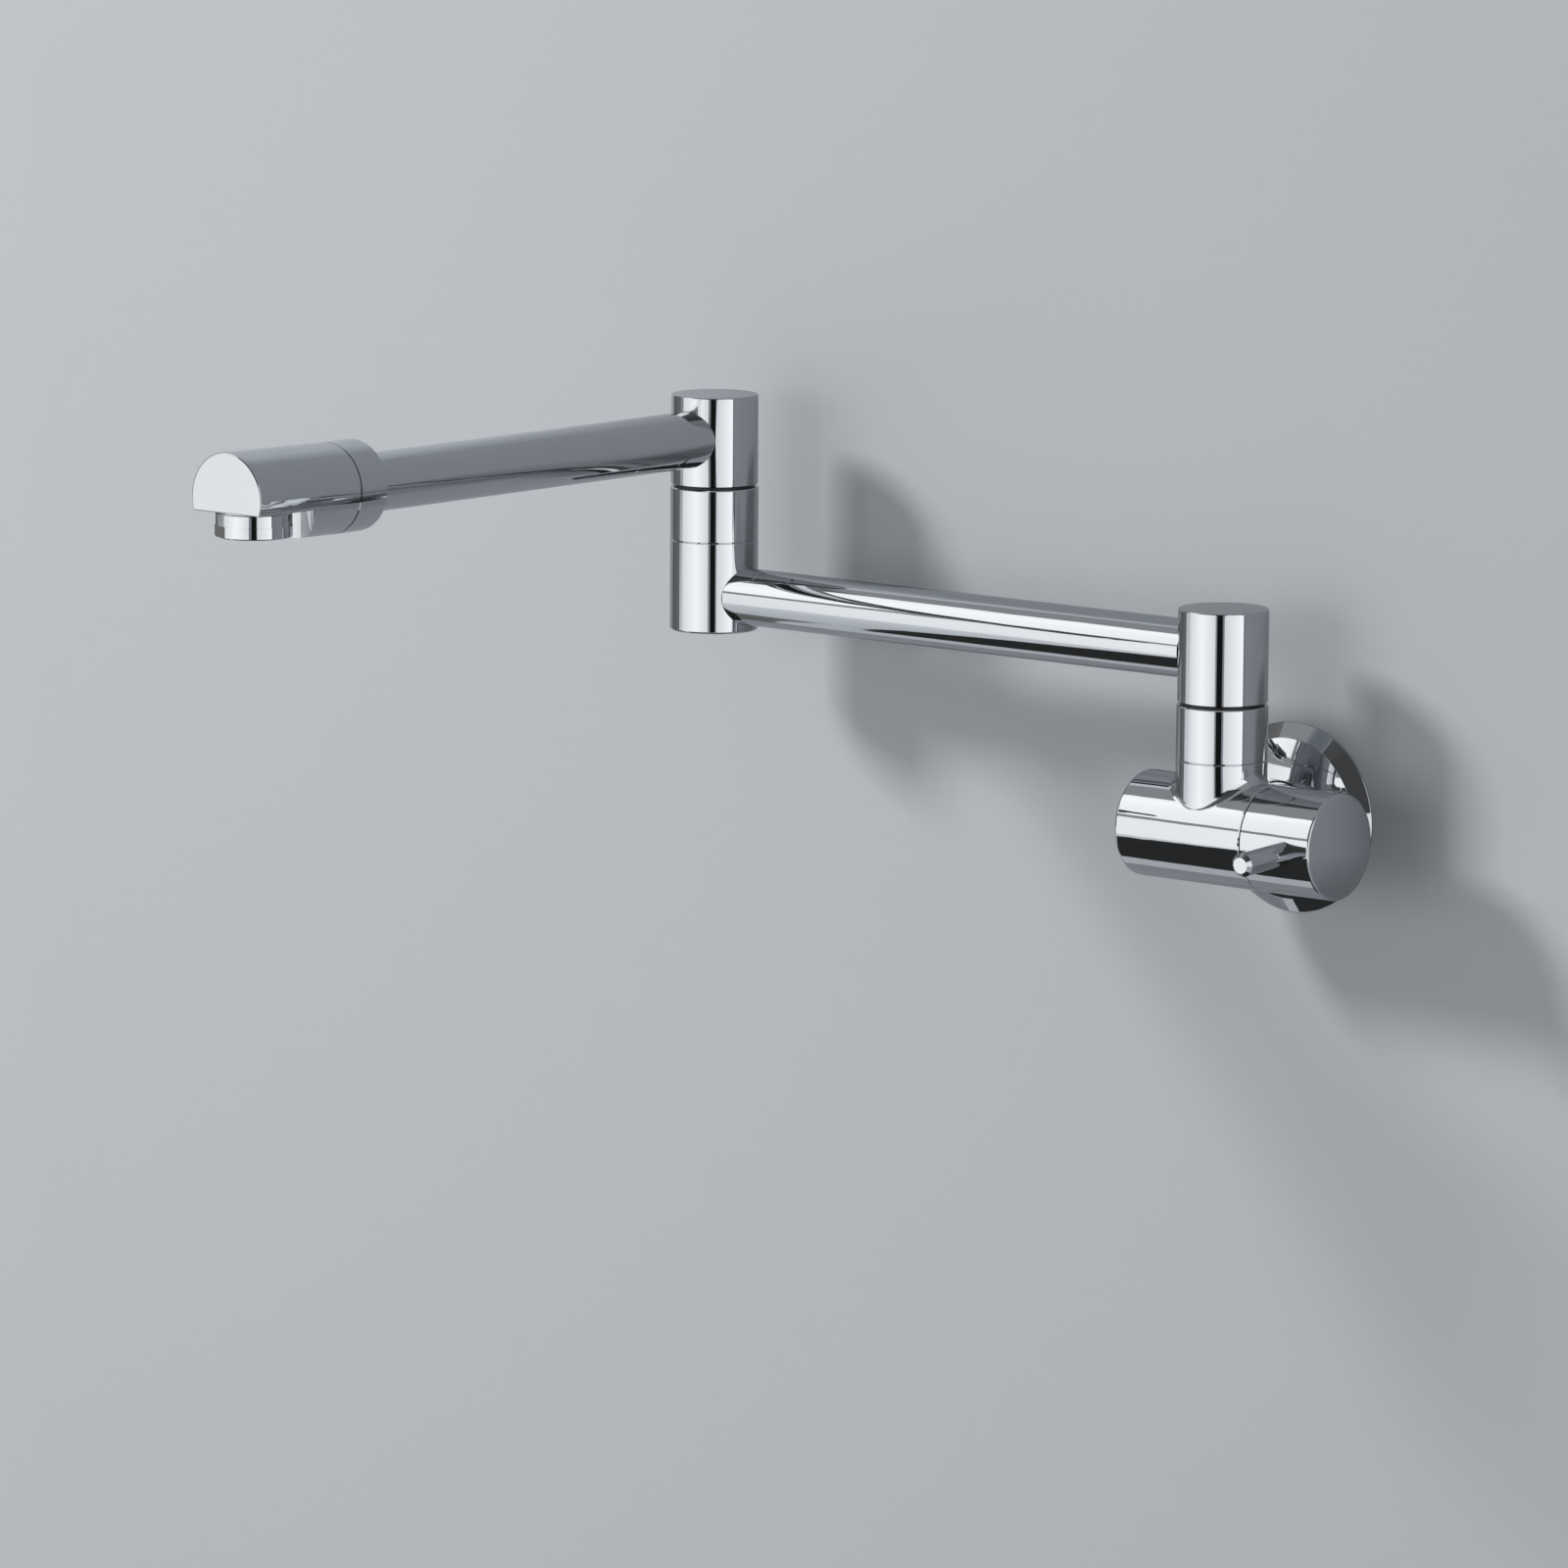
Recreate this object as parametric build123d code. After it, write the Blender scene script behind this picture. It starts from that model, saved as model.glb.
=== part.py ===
from build123d import *
import math
import os

# A wall mounted pot filler: a quarter turn valve on the wall, a lower arm that swivels on the valve,
# and an upper arm that swivels on the far end of the lower arm and carries the spout.
# Millimetres. Origin on the wall plane at the inlet axis. X along the wall, Y into the wall, Z up.
# The lower arm lies along -X, beside the wall, and the upper arm along -Y, away from it.

# ---- fits and gaps -------------------------------------------------------------------------------
BRAZE_GAP = 0.05        # radial room for solder between a tube and its socket
THREAD_GAP = 0.05       # radial room between a male and a female thread
RUNNING_GAP = 0.05      # radial room between a stem or spindle and the bore it turns in
FACE_GAP = 0.05         # between flat faces that slide on each other
SEAL_GAP = 0.02         # between a seal and the groove that holds it
SEAM_BREAK = 0.35       # small bevel on both sides of a visible seam
HANDLE_GAP = 0.4        # seam between the valve body and the turning handle
SWIVEL_GAP = 1.0        # open seam between a collar and the knuckle that turns above it

# ---- layout --------------------------------------------------------------------------------------
VALVE_REACH = 42.0      # wall plane to the valve axis and to the column axis
STUB_TOP = 24.85        # valve axis to the top of the stub
LOWER_ARM_LENGTH = 223.5    # column axis to elbow axis
SPOUT_REACH = 236.7     # elbow axis to aerator axis

# ---- arms, knuckles and collars --------------------------------------------------------------------
TUBE_DIA = 20.0
TUBE_WALL = 1.2
KNUCKLE_DIA = 30.6
KNUCKLE_HEIGHT = 31.6
KNUCKLE_ARM_HEIGHT = 16.5   # bottom of a knuckle to the axis of its arm
KNUCKLE_ROOF = 4.0
ELBOW_HEIGHT = 32.05
ELBOW_ARM_HEIGHT = 12.75
ELBOW_FLOOR = 2.4
COLUMN_DIA = 31.0           # stub, collars and elbow knuckle
COLLAR_HEIGHT = 18.5
EDGE_ROUND = 0.5
ELBOW_ROUND = 0.8

# ---- swivel set -------------------------------------------------------------------------------------
STEM_DIA = 18.0
STEM_BORE = 11.4
STEM_SHOULDER = 2.0         # step from the stem out to the thread in the knuckle
STEM_THREAD_LENGTH = 6.0
SPIGOT_WALL = 3.0           # threaded lower end of a collar, round the stem
SPIGOT_LENGTH = 8.0
CLIP_STAND = 1.4            # how far a clip stands out of its shaft
CLIP_THICK = 1.0
CLIP_GROOVE = 1.0           # depth of a clip's groove
CLIP_OPENING = 9.0
STEM_TIP = 1.6              # stem below its clip
SOCKET_FLOOR_ROOM = 0.7     # stem tip to the floor of its socket
STEM_RINGS = (4.0, 10.5)    # seam to the middle of each O-ring groove
RING_SECTION = 2.0
RING_GROOVE_WIDTH = 2.5
WASHER_SET_BACK = 1.0       # outline of the knuckle in to the glide washer

# ---- valve body ---------------------------------------------------------------------------------------
VALVE_DIA = 36.2
BODY_LEFT = 31.6            # column axis to the closed end
BODY_RIGHT = 20.7           # column axis to the open end
BODY_ROUND = 1.2
CAST_FILLET = 3.5           # where barrel, stub and boss run into each other
BOSS_STEP = 5.1             # outline of the barrel in to the boss
BOSS_END = 0.5              # wall plane to the end of the boss
SEAT_X = -3.0               # face that the cartridge seals on
SEAT_BORE = 11.0
SEAT_BORE_LENGTH = 21.0
RELIEF_DIA = 24.0           # chamber round the cartridge windows
RELIEF_SET_BACK = 2.0       # seat to the start of that chamber
RELIEF_LEDGE = 1.0          # end of that chamber to the cartridge thread
COLUMN_BORE = 12.0
PORT_DIA = 9.0              # slanted port from the inlet to the seat bore
PORT_END_X = -15.0

# ---- wall fixing ----------------------------------------------------------------------------------------
FLANGE_DIA = 65.4
FLANGE_FACE_DIA = 55.3
FLANGE_DEPTH = 4.5          # wall plane to the edge of the domed face
FLANGE_CROWN = 4.7          # that edge to the crown of the dome
FLANGE_SHEET = 1.0
FLANGE_RIM = 0.5            # straight part of the rim at the wall
FLANGE_HOLE_GAP = 0.2
GRIP_RING_SECTION = 2.2
GASKET_SET_BACK = 2.65      # edge of the domed face in to the gasket
GASKET_WIDTH = 6.0
INLET_THREAD_DIA = 20.955   # half inch pipe thread, major diameter
NIPPLE_OUT = 16.0
NIPPLE_IN = 12.0
NIPPLE_RELIEF = 1.5
NIPPLE_RELIEF_DEPTH = 0.8
NIPPLE_CHAMFER = 1.0
NIPPLE_BORE = 13.0
NIPPLE_KEY = 12.0           # across flats of the key socket in the wall end
NIPPLE_KEY_DEPTH = 8.0
NIPPLE_WASHER_THICK = 1.5
STRAINER_LEDGE = 1.5        # ring of the strainer that sits on the nipple
STRAINER_THICK = 0.8
STRAINER_MESH = 1.5
STRAINER_PITCH = 2.1

# ---- ceramic cartridge ----------------------------------------------------------------------------------
DISC_DIA = 15.0
DISC_THICK = 2.9
DISC_ROOM = 0.1             # disc to the chamber's wall, radial
SEAL_LENGTH = 3.0           # seat to the fixed disc
SLEEVE_LAP = 1.0            # sleeve over the seal
CART_SLEEVE_WALL = 1.65
CART_BORE_ROOM = 0.15       # sleeve to the body's bore, radial
CART_CHAMBER_LENGTH = 10.5  # fixed disc's seal side to the end of the chamber
CART_THREAD_LEAD = 0.5      # end of the chamber to the thread
CART_THREAD_STEP = 1.2      # sleeve out to the thread
CART_NECK = 1.8             # plain neck under the flange, inside the body O-ring
CART_NECK_STEP = 0.65       # thread in to the neck
CART_FLANGE_LIP = 0.9       # flange beyond the O-ring's seat
CART_FLANGE_THICK = 2.0
CART_HEX = 20.0
CART_HEX_LENGTH = 7.0
CART_WINDOW_WIDTH = 9.0
CART_WINDOW_LENGTH = 4.0
CART_WINDOW_BACK = 1.5      # windows to the end of the chamber
SPINDLE_DIA = 10.0
SPINDLE_RINGS = (3.5, 8.0)  # end of the chamber to the middle of each O-ring groove
SPINDLE_RING_SECTION = 1.4
SPINDLE_RING_WIDTH = 1.9
SPINDLE_FOOT_WIDTH = 6.0
SPINDLE_LUG_WIDTH = 3.0
SPINDLE_LUG_DEPTH = 1.4
SPINDLE_WASHER_THICK = 0.9
SPINDLE_CLIP_OPENING = 5.0
SPLINE_STEP = 0.5           # shaft in to the tips of the teeth
SPLINE_DEPTH = 0.45
SPLINE_SHOULDER = 0.8       # clip to the start of the teeth
SPLINE_TEETH = 20

# ---- handle -----------------------------------------------------------------------------------------------
HANDLE_LENGTH = 28.55
HANDLE_WALL = 2.3
HANDLE_HOLLOW_ROOM = 0.5    # start of the spindle's teeth to the floor of the hollow
HANDLE_CAP = 6.0            # closed end beyond the spindle
HANDLE_ROUND = 0.9
LEVER_PLACE = 18.1          # start of the handle to the lever
LEVER_DROP = 3.0            # degrees below level, with the tap open
LEVER_DIA = 8.0
LEVER_OUT = 23.6            # barrel surface to the lever's tip
LEVER_SEAT = 1.6            # how far the lever sinks in its seat
LEVER_THREAD_DIA = 5.0
LEVER_THREAD_LENGTH = 7.0
LEVER_TIP = 1.3
SCREW_DIA = 4.0
SCREW_LENGTH = 8.0
SCREW_KEY = 2.0
SCREW_KEY_DEPTH = 2.5

# ---- spout --------------------------------------------------------------------------------------------------
HEAD_DIA = 31.0
HEAD_LENGTH = 49.4
HEAD_NOSE = 13.5            # aerator axis to the flat front
HEAD_ROUND = 0.6
HEAD_LIFT = 1.04            # degrees that the barrel rises towards its front
HEAD_UNDERSIDE = 4.0        # arm axis down to the flat underside
HEAD_SOCKET_DEPTH = 9.0
HEAD_CUT_RADIUS = 20.0      # finger room round the aerator
HEAD_CUT_WALL = 1.4         # rear bore to that hollow
HEAD_REAR_BORE = 16.0
HEAD_PORT_DIA = 11.0        # raised port over the cut-away underside
HEAD_PORT_RISE = 4.8
SPOUT_COLLAR_LENGTH = 13.2
SPOUT_SPIGOT_STEP = 2.0     # tube out to the collar's spigot
TUBE_STOP = 10.5            # depth of the tube in the spout collar
SPOUT_RING_PLACE = 5.5
SPOUT_RING_SECTION = 1.6
SPOUT_RING_WIDTH = 2.1

# ---- aerator ------------------------------------------------------------------------------------------------
AERATOR_THREAD_DIA = 24.0
AERATOR_THREAD_LENGTH = 6.0
AERATOR_WASHER_WIDTH = 2.0
AERATOR_CHAMBER_TOP = 12.5  # underside to the chamber's roof
AERATOR_WASHER_THICK = 1.4
AERATOR_SHADOW_GAP = 0.4    # underside to the top of the ring
AERATOR_RING_STEP = 0.7     # thread out to the ring
AERATOR_RING_HEIGHT = 4.2
AERATOR_FOOT_STEP = 0.3     # ring out to its foot
AERATOR_FOOT_HEIGHT = 4.0
AERATOR_FLATS_TURN = -117.0     # degrees, where the front wrench flat faces
AERATOR_WALL = 1.7          # bore to the thread
AERATOR_LIP_WIDTH = 1.0
AERATOR_LIP = 1.0
INSERT_WALL = 1.0
INSERT_GRID = 3.0
GRID_CELL = 2.2             # honeycomb cell across flats
GRID_WEB = 0.45
DIFFUSER_THICK = 1.2
DIFFUSER_HOLES = 12
DIFFUSER_HOLE_DIA = 1.4
SCREEN_THICK = 0.6
SCREEN_MESH = 1.2
SCREEN_PITCH = 1.7

# ---- places that follow from the sizes -------------------------------------------------------------------------
COLLAR_TOP = STUB_TOP + COLLAR_HEIGHT
KNUCKLE_BOTTOM = COLLAR_TOP + SWIVEL_GAP
LOWER_ARM_Z = KNUCKLE_BOTTOM + KNUCKLE_ARM_HEIGHT
ELBOW_BOTTOM = LOWER_ARM_Z - ELBOW_ARM_HEIGHT
ELBOW_TOP = ELBOW_BOTTOM + ELBOW_HEIGHT
UPPER_KNUCKLE_BOTTOM = ELBOW_TOP + COLLAR_HEIGHT + SWIVEL_GAP
UPPER_ARM_Z = UPPER_KNUCKLE_BOTTOM + KNUCKLE_ARM_HEIGHT
SOCKET_DEPTH = SPIGOT_LENGTH + CLIP_THICK + STEM_TIP + SOCKET_FLOOR_ROOM
STEM_THREAD_DIA = STEM_DIA + 2 * STEM_SHOULDER
SPIGOT_DIA = STEM_DIA + 2 * SPIGOT_WALL
KNUCKLE_BORE = STEM_THREAD_DIA + 2 * THREAD_GAP
SOCKET_BORE = SPIGOT_DIA + 2 * THREAD_GAP
TUBE_BORE = TUBE_DIA - 2 * TUBE_WALL
BOSS_DIA = VALVE_DIA - 2 * BOSS_STEP

FIXED_DISC_START = SEAT_X + SEAL_LENGTH
FIXED_DISC_END = FIXED_DISC_START + DISC_THICK
MOVING_DISC_START = FIXED_DISC_END + FACE_GAP
MOVING_DISC_END = MOVING_DISC_START + DISC_THICK
CART_CHAMBER_DIA = DISC_DIA + 2 * DISC_ROOM
CART_CHAMBER_END = FIXED_DISC_START + CART_CHAMBER_LENGTH
CART_SLEEVE_START = FIXED_DISC_START - SLEEVE_LAP
CART_SLEEVE_DIA = CART_CHAMBER_DIA + 2 * CART_SLEEVE_WALL
CART_THREAD_START = CART_CHAMBER_END + CART_THREAD_LEAD
CART_THREAD_DIA = CART_SLEEVE_DIA + 2 * CART_THREAD_STEP
CART_NECK_DIA = CART_THREAD_DIA - 2 * CART_NECK_STEP
CART_RING_SEAT_DIA = CART_NECK_DIA + 2 * CART_NECK
CART_FLANGE_END = BODY_RIGHT + CART_FLANGE_THICK
CART_END = CART_FLANGE_END + CART_HEX_LENGTH
SPINDLE_FOOT_END = CART_CHAMBER_END - SPINDLE_WASHER_THICK - FACE_GAP
SPINDLE_CLIP_START = CART_END + FACE_GAP
SPLINE_START = SPINDLE_CLIP_START + CLIP_THICK + SPLINE_SHOULDER
SPLINE_DIA = SPINDLE_DIA - 2 * SPLINE_STEP

HANDLE_START = BODY_RIGHT + HANDLE_GAP
HANDLE_END = HANDLE_START + HANDLE_LENGTH
SPINDLE_END = HANDLE_END - HANDLE_CAP
LEVER_X = HANDLE_START + LEVER_PLACE

HEAD_START = SPOUT_REACH + HEAD_NOSE - HEAD_LENGTH
HEAD_REAR_BORE_END = SPOUT_REACH - HEAD_CUT_RADIUS - HEAD_CUT_WALL
SPOUT_COLLAR_START = HEAD_START - SPOUT_COLLAR_LENGTH
SPOUT_SPIGOT_DIA = TUBE_DIA + 2 * SPOUT_SPIGOT_STEP
AERATOR_BORE = AERATOR_THREAD_DIA - 2 * AERATOR_WALL
AERATOR_LIP_BORE = AERATOR_BORE - 2 * AERATOR_LIP_WIDTH
AERATOR_RING_DIA = AERATOR_THREAD_DIA + 2 * AERATOR_RING_STEP
AERATOR_FOOT_DIA = AERATOR_RING_DIA + 2 * AERATOR_FOOT_STEP
AERATOR_CHAMBER_DIA = AERATOR_THREAD_DIA - 2 * AERATOR_WASHER_WIDTH
STRAINER_DIA = NIPPLE_BORE + 2 * STRAINER_LEDGE
GASKET_DIA = FLANGE_FACE_DIA - 2 * GASKET_SET_BACK

# Each frame lays a piece that is drawn along its own Z axis in its place on the object.
VALVE_FRAME = Location((0, -VALVE_REACH, 0), (0, 90, 0))
INLET_FRAME = Location((0, 0, 0), (-90, 0, 0))
COLUMN_FRAME = Location((0, -VALVE_REACH, STUB_TOP))
LOWER_ARM_FRAME = Location((0, -VALVE_REACH, LOWER_ARM_Z), (0, -90, 0))
ELBOW_FRAME = Location((-LOWER_ARM_LENGTH, -VALVE_REACH, ELBOW_TOP))
SPOUT_FRAME = Location((-LOWER_ARM_LENGTH, -VALVE_REACH, UPPER_ARM_Z), (90, 0, 0))
AERATOR_FRAME = Location((-LOWER_ARM_LENGTH, -VALVE_REACH - SPOUT_REACH, UPPER_ARM_Z - HEAD_UNDERSIDE))


LOW_FACE = (Align.CENTER, Align.CENTER, Align.MIN)     # a solid stands on its reference plane


def bar(diameter, low, high):
    """A round bar along Z between two heights."""
    return Pos(0, 0, low) * Cylinder(diameter / 2, high - low, align=LOW_FACE)


def sleeve(outer, inner, low, high):
    """A round bar with a through bore."""
    return bar(outer, low, high) - bar(inner, low - 1, high + 1)


def hexagon_bar(across_flats, low, high):
    """A hexagonal bar along Z between two heights."""
    outline = RegularPolygon(across_flats / math.sqrt(3), 6)
    return Pos(0, 0, low) * extrude(outline, high - low)


def top_edges(part):
    """The edges on a part's highest plane."""
    return part.edges().group_by(Axis.Z)[-1]


def bottom_edges(part):
    """The edges on a part's lowest plane."""
    return part.edges().group_by(Axis.Z)[0]


def o_ring(inner_dia, outer_dia, middle):
    """A round-section ring that fills the radial room between two diameters."""
    section = (outer_dia - inner_dia) / 2
    return Pos(0, 0, middle) * Torus((inner_dia + section) / 2, section / 2)


def retaining_clip(inner_dia, outer_dia, opening, low, thick):
    """A flat spring ring that is open on one side."""
    ring = sleeve(outer_dia, inner_dia, low, low + thick)
    mouth = Pos(outer_dia / 2, 0, low + thick / 2) * Box(outer_dia, opening, 2 * thick)
    return ring - mouth


def saddle_edges(part):
    """The curved edges where one cylinder runs into another."""
    plain = (GeomType.LINE, GeomType.CIRCLE)
    return [edge for edge in part.edges() if edge.geom_type not in plain]


# ---- wall fixing ----------------------------------------------------------------------------------------------
def domed_plate(outer, rim, face, depth):
    """A round plate on the wall plane: straight rim, bevel, and a domed face that starts at the bevel."""
    crown = depth + FLANGE_CROWN
    radius = (face ** 2 + FLANGE_CROWN ** 2) / (2 * FLANGE_CROWN)
    half = math.asin(face / radius) / 2
    dome_middle = (radius * math.sin(half), radius * (1 - math.cos(half)) - crown)
    rim_line = Polyline((0, -crown), (0, 0), (outer, 0), (outer, -rim), (face, -depth))
    dome_line = ThreePointArc((face, -depth), dome_middle, (0, -crown))
    return revolve(make_face(Plane.XZ * (rim_line + dome_line)), Axis.Z)


def flange_hollow():
    """The room behind the cover plate."""
    outer = FLANGE_DIA / 2 - FLANGE_SHEET
    face = FLANGE_FACE_DIA / 2 - FLANGE_SHEET / 2
    return domed_plate(outer, FLANGE_RIM / 2, face, FLANGE_DEPTH - FLANGE_SHEET)


def wall_flange():
    """Stamped cover plate: domed face, bevel, and a short straight rim that meets the wall."""
    plate = domed_plate(FLANGE_DIA / 2, FLANGE_RIM, FLANGE_FACE_DIA / 2, FLANGE_DEPTH)
    hole = bar(BOSS_DIA + 2 * FLANGE_HOLE_GAP, -FLANGE_DIA, FLANGE_DEPTH)
    return INLET_FRAME * (plate - flange_hollow() - hole)


def behind_flange(inner, outer, high):
    """A soft ring that fills the room behind the cover plate between two diameters."""
    ring = sleeve(outer, inner, -FLANGE_DIA, high)
    return INLET_FRAME * (ring & Pos(0, 0, SEAL_GAP) * flange_hollow())


def flange_grip_ring():
    """Rubber ring that grips the boss behind the cover plate."""
    inner = BOSS_DIA + 2 * SEAL_GAP
    return behind_flange(inner, inner + 2 * GRIP_RING_SECTION, -BOSS_END)


def wall_gasket():
    """Foam ring squeezed between the cover plate and the wall."""
    return behind_flange(GASKET_DIA - 2 * GASKET_WIDTH, GASKET_DIA, 0)


def inlet_nipple():
    """Threaded inlet: one thread goes into the boss, the other into the pipe fitting in the wall."""
    barrel = bar(INLET_THREAD_DIA, -NIPPLE_IN, NIPPLE_OUT)
    barrel = chamfer(top_edges(barrel), NIPPLE_CHAMFER)
    relief_dia = INLET_THREAD_DIA - 2 * NIPPLE_RELIEF_DEPTH
    relief = sleeve(2 * INLET_THREAD_DIA, relief_dia, -BOSS_END - NIPPLE_RELIEF, -BOSS_END)
    key = hexagon_bar(NIPPLE_KEY, NIPPLE_OUT - NIPPLE_KEY_DEPTH, NIPPLE_OUT + 1)
    waterway = bar(NIPPLE_BORE, -NIPPLE_IN - 1, NIPPLE_OUT - NIPPLE_KEY_DEPTH)
    strainer_seat = bar(STRAINER_DIA + 2 * SEAL_GAP, -NIPPLE_IN - 1, -NIPPLE_IN + STRAINER_THICK)
    return INLET_FRAME * (barrel - relief - key - waterway - strainer_seat)


def nipple_washer():
    """Fibre washer at the bottom of the boss thread."""
    ring = sleeve(INLET_THREAD_DIA, NIPPLE_BORE, -NIPPLE_IN - NIPPLE_WASHER_THICK, -NIPPLE_IN)
    return INLET_FRAME * ring


def mesh_disc(diameter, thick, opening, pitch):
    """A flat round screen with square openings."""
    disc = bar(diameter, 0, thick)
    reach = diameter / 2 - opening
    steps = int(reach / pitch)
    places = [i * pitch for i in range(-steps, steps + 1)]
    spots = [(x, y) for x in places for y in places if math.hypot(x, y) < reach]
    holes = [Pos(x, y, thick / 2) * Box(opening, opening, 2 * thick) for x, y in spots]
    return disc - holes


def inlet_strainer():
    """Screen that keeps grit out of the cartridge."""
    screen = mesh_disc(STRAINER_DIA, STRAINER_THICK, STRAINER_MESH, STRAINER_PITCH)
    return INLET_FRAME * Pos(0, 0, -NIPPLE_IN) * screen


# ---- valve body -------------------------------------------------------------------------------------------------
def valve_shell():
    """Horizontal barrel with the upright stub and the wall boss cast on it."""
    barrel = bar(VALVE_DIA, -BODY_LEFT, BODY_RIGHT)
    barrel = fillet(bottom_edges(barrel), BODY_ROUND)
    barrel = VALVE_FRAME * chamfer(top_edges(barrel), SEAM_BREAK)
    stub = bar(COLUMN_DIA, -STUB_TOP, 0)
    stub = COLUMN_FRAME * chamfer(top_edges(stub), SEAM_BREAK)
    boss = INLET_FRAME * bar(BOSS_DIA, -VALVE_REACH, -BOSS_END)
    shell = barrel + stub + boss
    return fillet(saddle_edges(shell), CAST_FILLET)


def valve_body():
    """The casting with its waterways: inlet pocket, slanted port, seat bore, cartridge bore, column bore."""
    seat_bore = bar(SEAT_BORE, SEAT_X - SEAT_BORE_LENGTH, SEAT_X + 1)
    cartridge_bore = bar(CART_SLEEVE_DIA + 2 * CART_BORE_ROOM, SEAT_X, CART_THREAD_START)
    relief = bar(RELIEF_DIA, SEAT_X + RELIEF_SET_BACK, CART_THREAD_START - RELIEF_LEDGE)
    thread = bar(CART_THREAD_DIA + 2 * THREAD_GAP, CART_THREAD_START, BODY_RIGHT + 1)
    ring_seat = bar(CART_RING_SEAT_DIA, BODY_RIGHT - CART_NECK, BODY_RIGHT + 1)
    bores = VALVE_FRAME * (seat_bore + cartridge_bore + relief + thread + ring_seat)
    socket = COLUMN_FRAME * bar(SOCKET_BORE, -SOCKET_DEPTH, 1)
    riser = COLUMN_FRAME * bar(COLUMN_BORE, -STUB_TOP + RELIEF_DIA / 3, 0)
    pocket_floor = -NIPPLE_IN - NIPPLE_WASHER_THICK
    pocket = INLET_FRAME * bar(INLET_THREAD_DIA + 2 * THREAD_GAP, pocket_floor, 1)
    port_start = Vector(0, pocket_floor + PORT_DIA / 2, 0)
    port_end = Vector(PORT_END_X, -VALVE_REACH, 0)
    port_path = port_end - port_start
    port = Plane(port_start, z_dir=port_path) * bar(PORT_DIA, 0, port_path.length)
    return valve_shell() - bores - socket - riser - pocket - port


# ---- ceramic cartridge, drawn along the valve axis with the seat side low -------------------------------------------
def cartridge_body():
    """Brass sleeve with thread, flange and hexagon; two windows let the water out sideways."""
    sleeve_part = bar(CART_SLEEVE_DIA, CART_SLEEVE_START, CART_THREAD_START)
    thread = bar(CART_THREAD_DIA, CART_THREAD_START, BODY_RIGHT - CART_NECK)
    neck = bar(CART_NECK_DIA, BODY_RIGHT - CART_NECK, BODY_RIGHT)
    flange = bar(CART_RING_SEAT_DIA + 2 * CART_FLANGE_LIP, BODY_RIGHT, CART_FLANGE_END)
    hexagon = hexagon_bar(CART_HEX, CART_FLANGE_END, CART_END)
    solid = sleeve_part + thread + neck + flange + hexagon
    chamber = bar(CART_CHAMBER_DIA, CART_SLEEVE_START - 1, CART_CHAMBER_END)
    shaft_bore = bar(SPINDLE_DIA + 2 * RUNNING_GAP, CART_CHAMBER_END - 1, CART_END + 1)
    middle = CART_CHAMBER_END - CART_WINDOW_BACK - CART_WINDOW_LENGTH / 2
    windows = Pos(0, 0, middle) * Box(2 * CART_SLEEVE_DIA, CART_WINDOW_WIDTH, CART_WINDOW_LENGTH)
    return VALVE_FRAME * (solid - chamber - shaft_bore - windows)


def cartridge_seat_seal():
    """Rubber sleeve that seals the fixed disc on the valve's seat."""
    return VALVE_FRAME * sleeve(DISC_DIA, SEAT_BORE, SEAT_X, FIXED_DISC_START)


def cartridge_o_ring():
    """Ring under the cartridge flange, in the mouth of the valve body."""
    inner = CART_NECK_DIA + 2 * SEAL_GAP
    outer = CART_RING_SEAT_DIA - 2 * SEAL_GAP
    return VALVE_FRAME * o_ring(inner, outer, BODY_RIGHT - CART_NECK / 2)


def quarter_disc(low, high):
    """Ceramic disc with two opposite quarter openings."""
    disc = bar(DISC_DIA, low, high)
    opening_dia = DISC_DIA * 0.8
    ring = bar(opening_dia, low - 1, high + 1) - bar(opening_dia / 3, low - 2, high + 2)
    corner = Box(DISC_DIA, DISC_DIA, 4 * DISC_THICK, align=(Align.MIN, Align.MIN, Align.CENTER))
    wedge = Pos(0, 0, low) * corner
    return disc - (ring & wedge) - (ring & (Rot(0, 0, 180) * wedge))


def fixed_disc():
    """Disc that stays in the sleeve."""
    return VALVE_FRAME * quarter_disc(FIXED_DISC_START, FIXED_DISC_END)


def moving_disc():
    """Disc that the spindle turns; a slot in its back takes the spindle's lug."""
    disc = quarter_disc(MOVING_DISC_START, MOVING_DISC_END)
    slot_width = SPINDLE_LUG_WIDTH + 2 * SEAL_GAP
    slot = Pos(0, 0, MOVING_DISC_END) * Box(2 * DISC_DIA, slot_width, 2 * (SPINDLE_LUG_DEPTH + FACE_GAP))
    return VALVE_FRAME * (disc - Rot(0, 0, -45) * slot)


def spline_bar(diameter, low, high):
    """A bar with fine straight teeth, from its tip diameter and the tooth depth."""
    tip = diameter / 2
    root = tip - SPLINE_DEPTH
    step = math.pi / SPLINE_TEETH
    rim = [(tip, root)[i % 2] for i in range(2 * SPLINE_TEETH)]
    points = [(r * math.cos(i * step), r * math.sin(i * step)) for i, r in enumerate(rim)]
    return Pos(0, 0, low) * extrude(make_face(Polyline(*points, close=True)), high - low)


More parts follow.
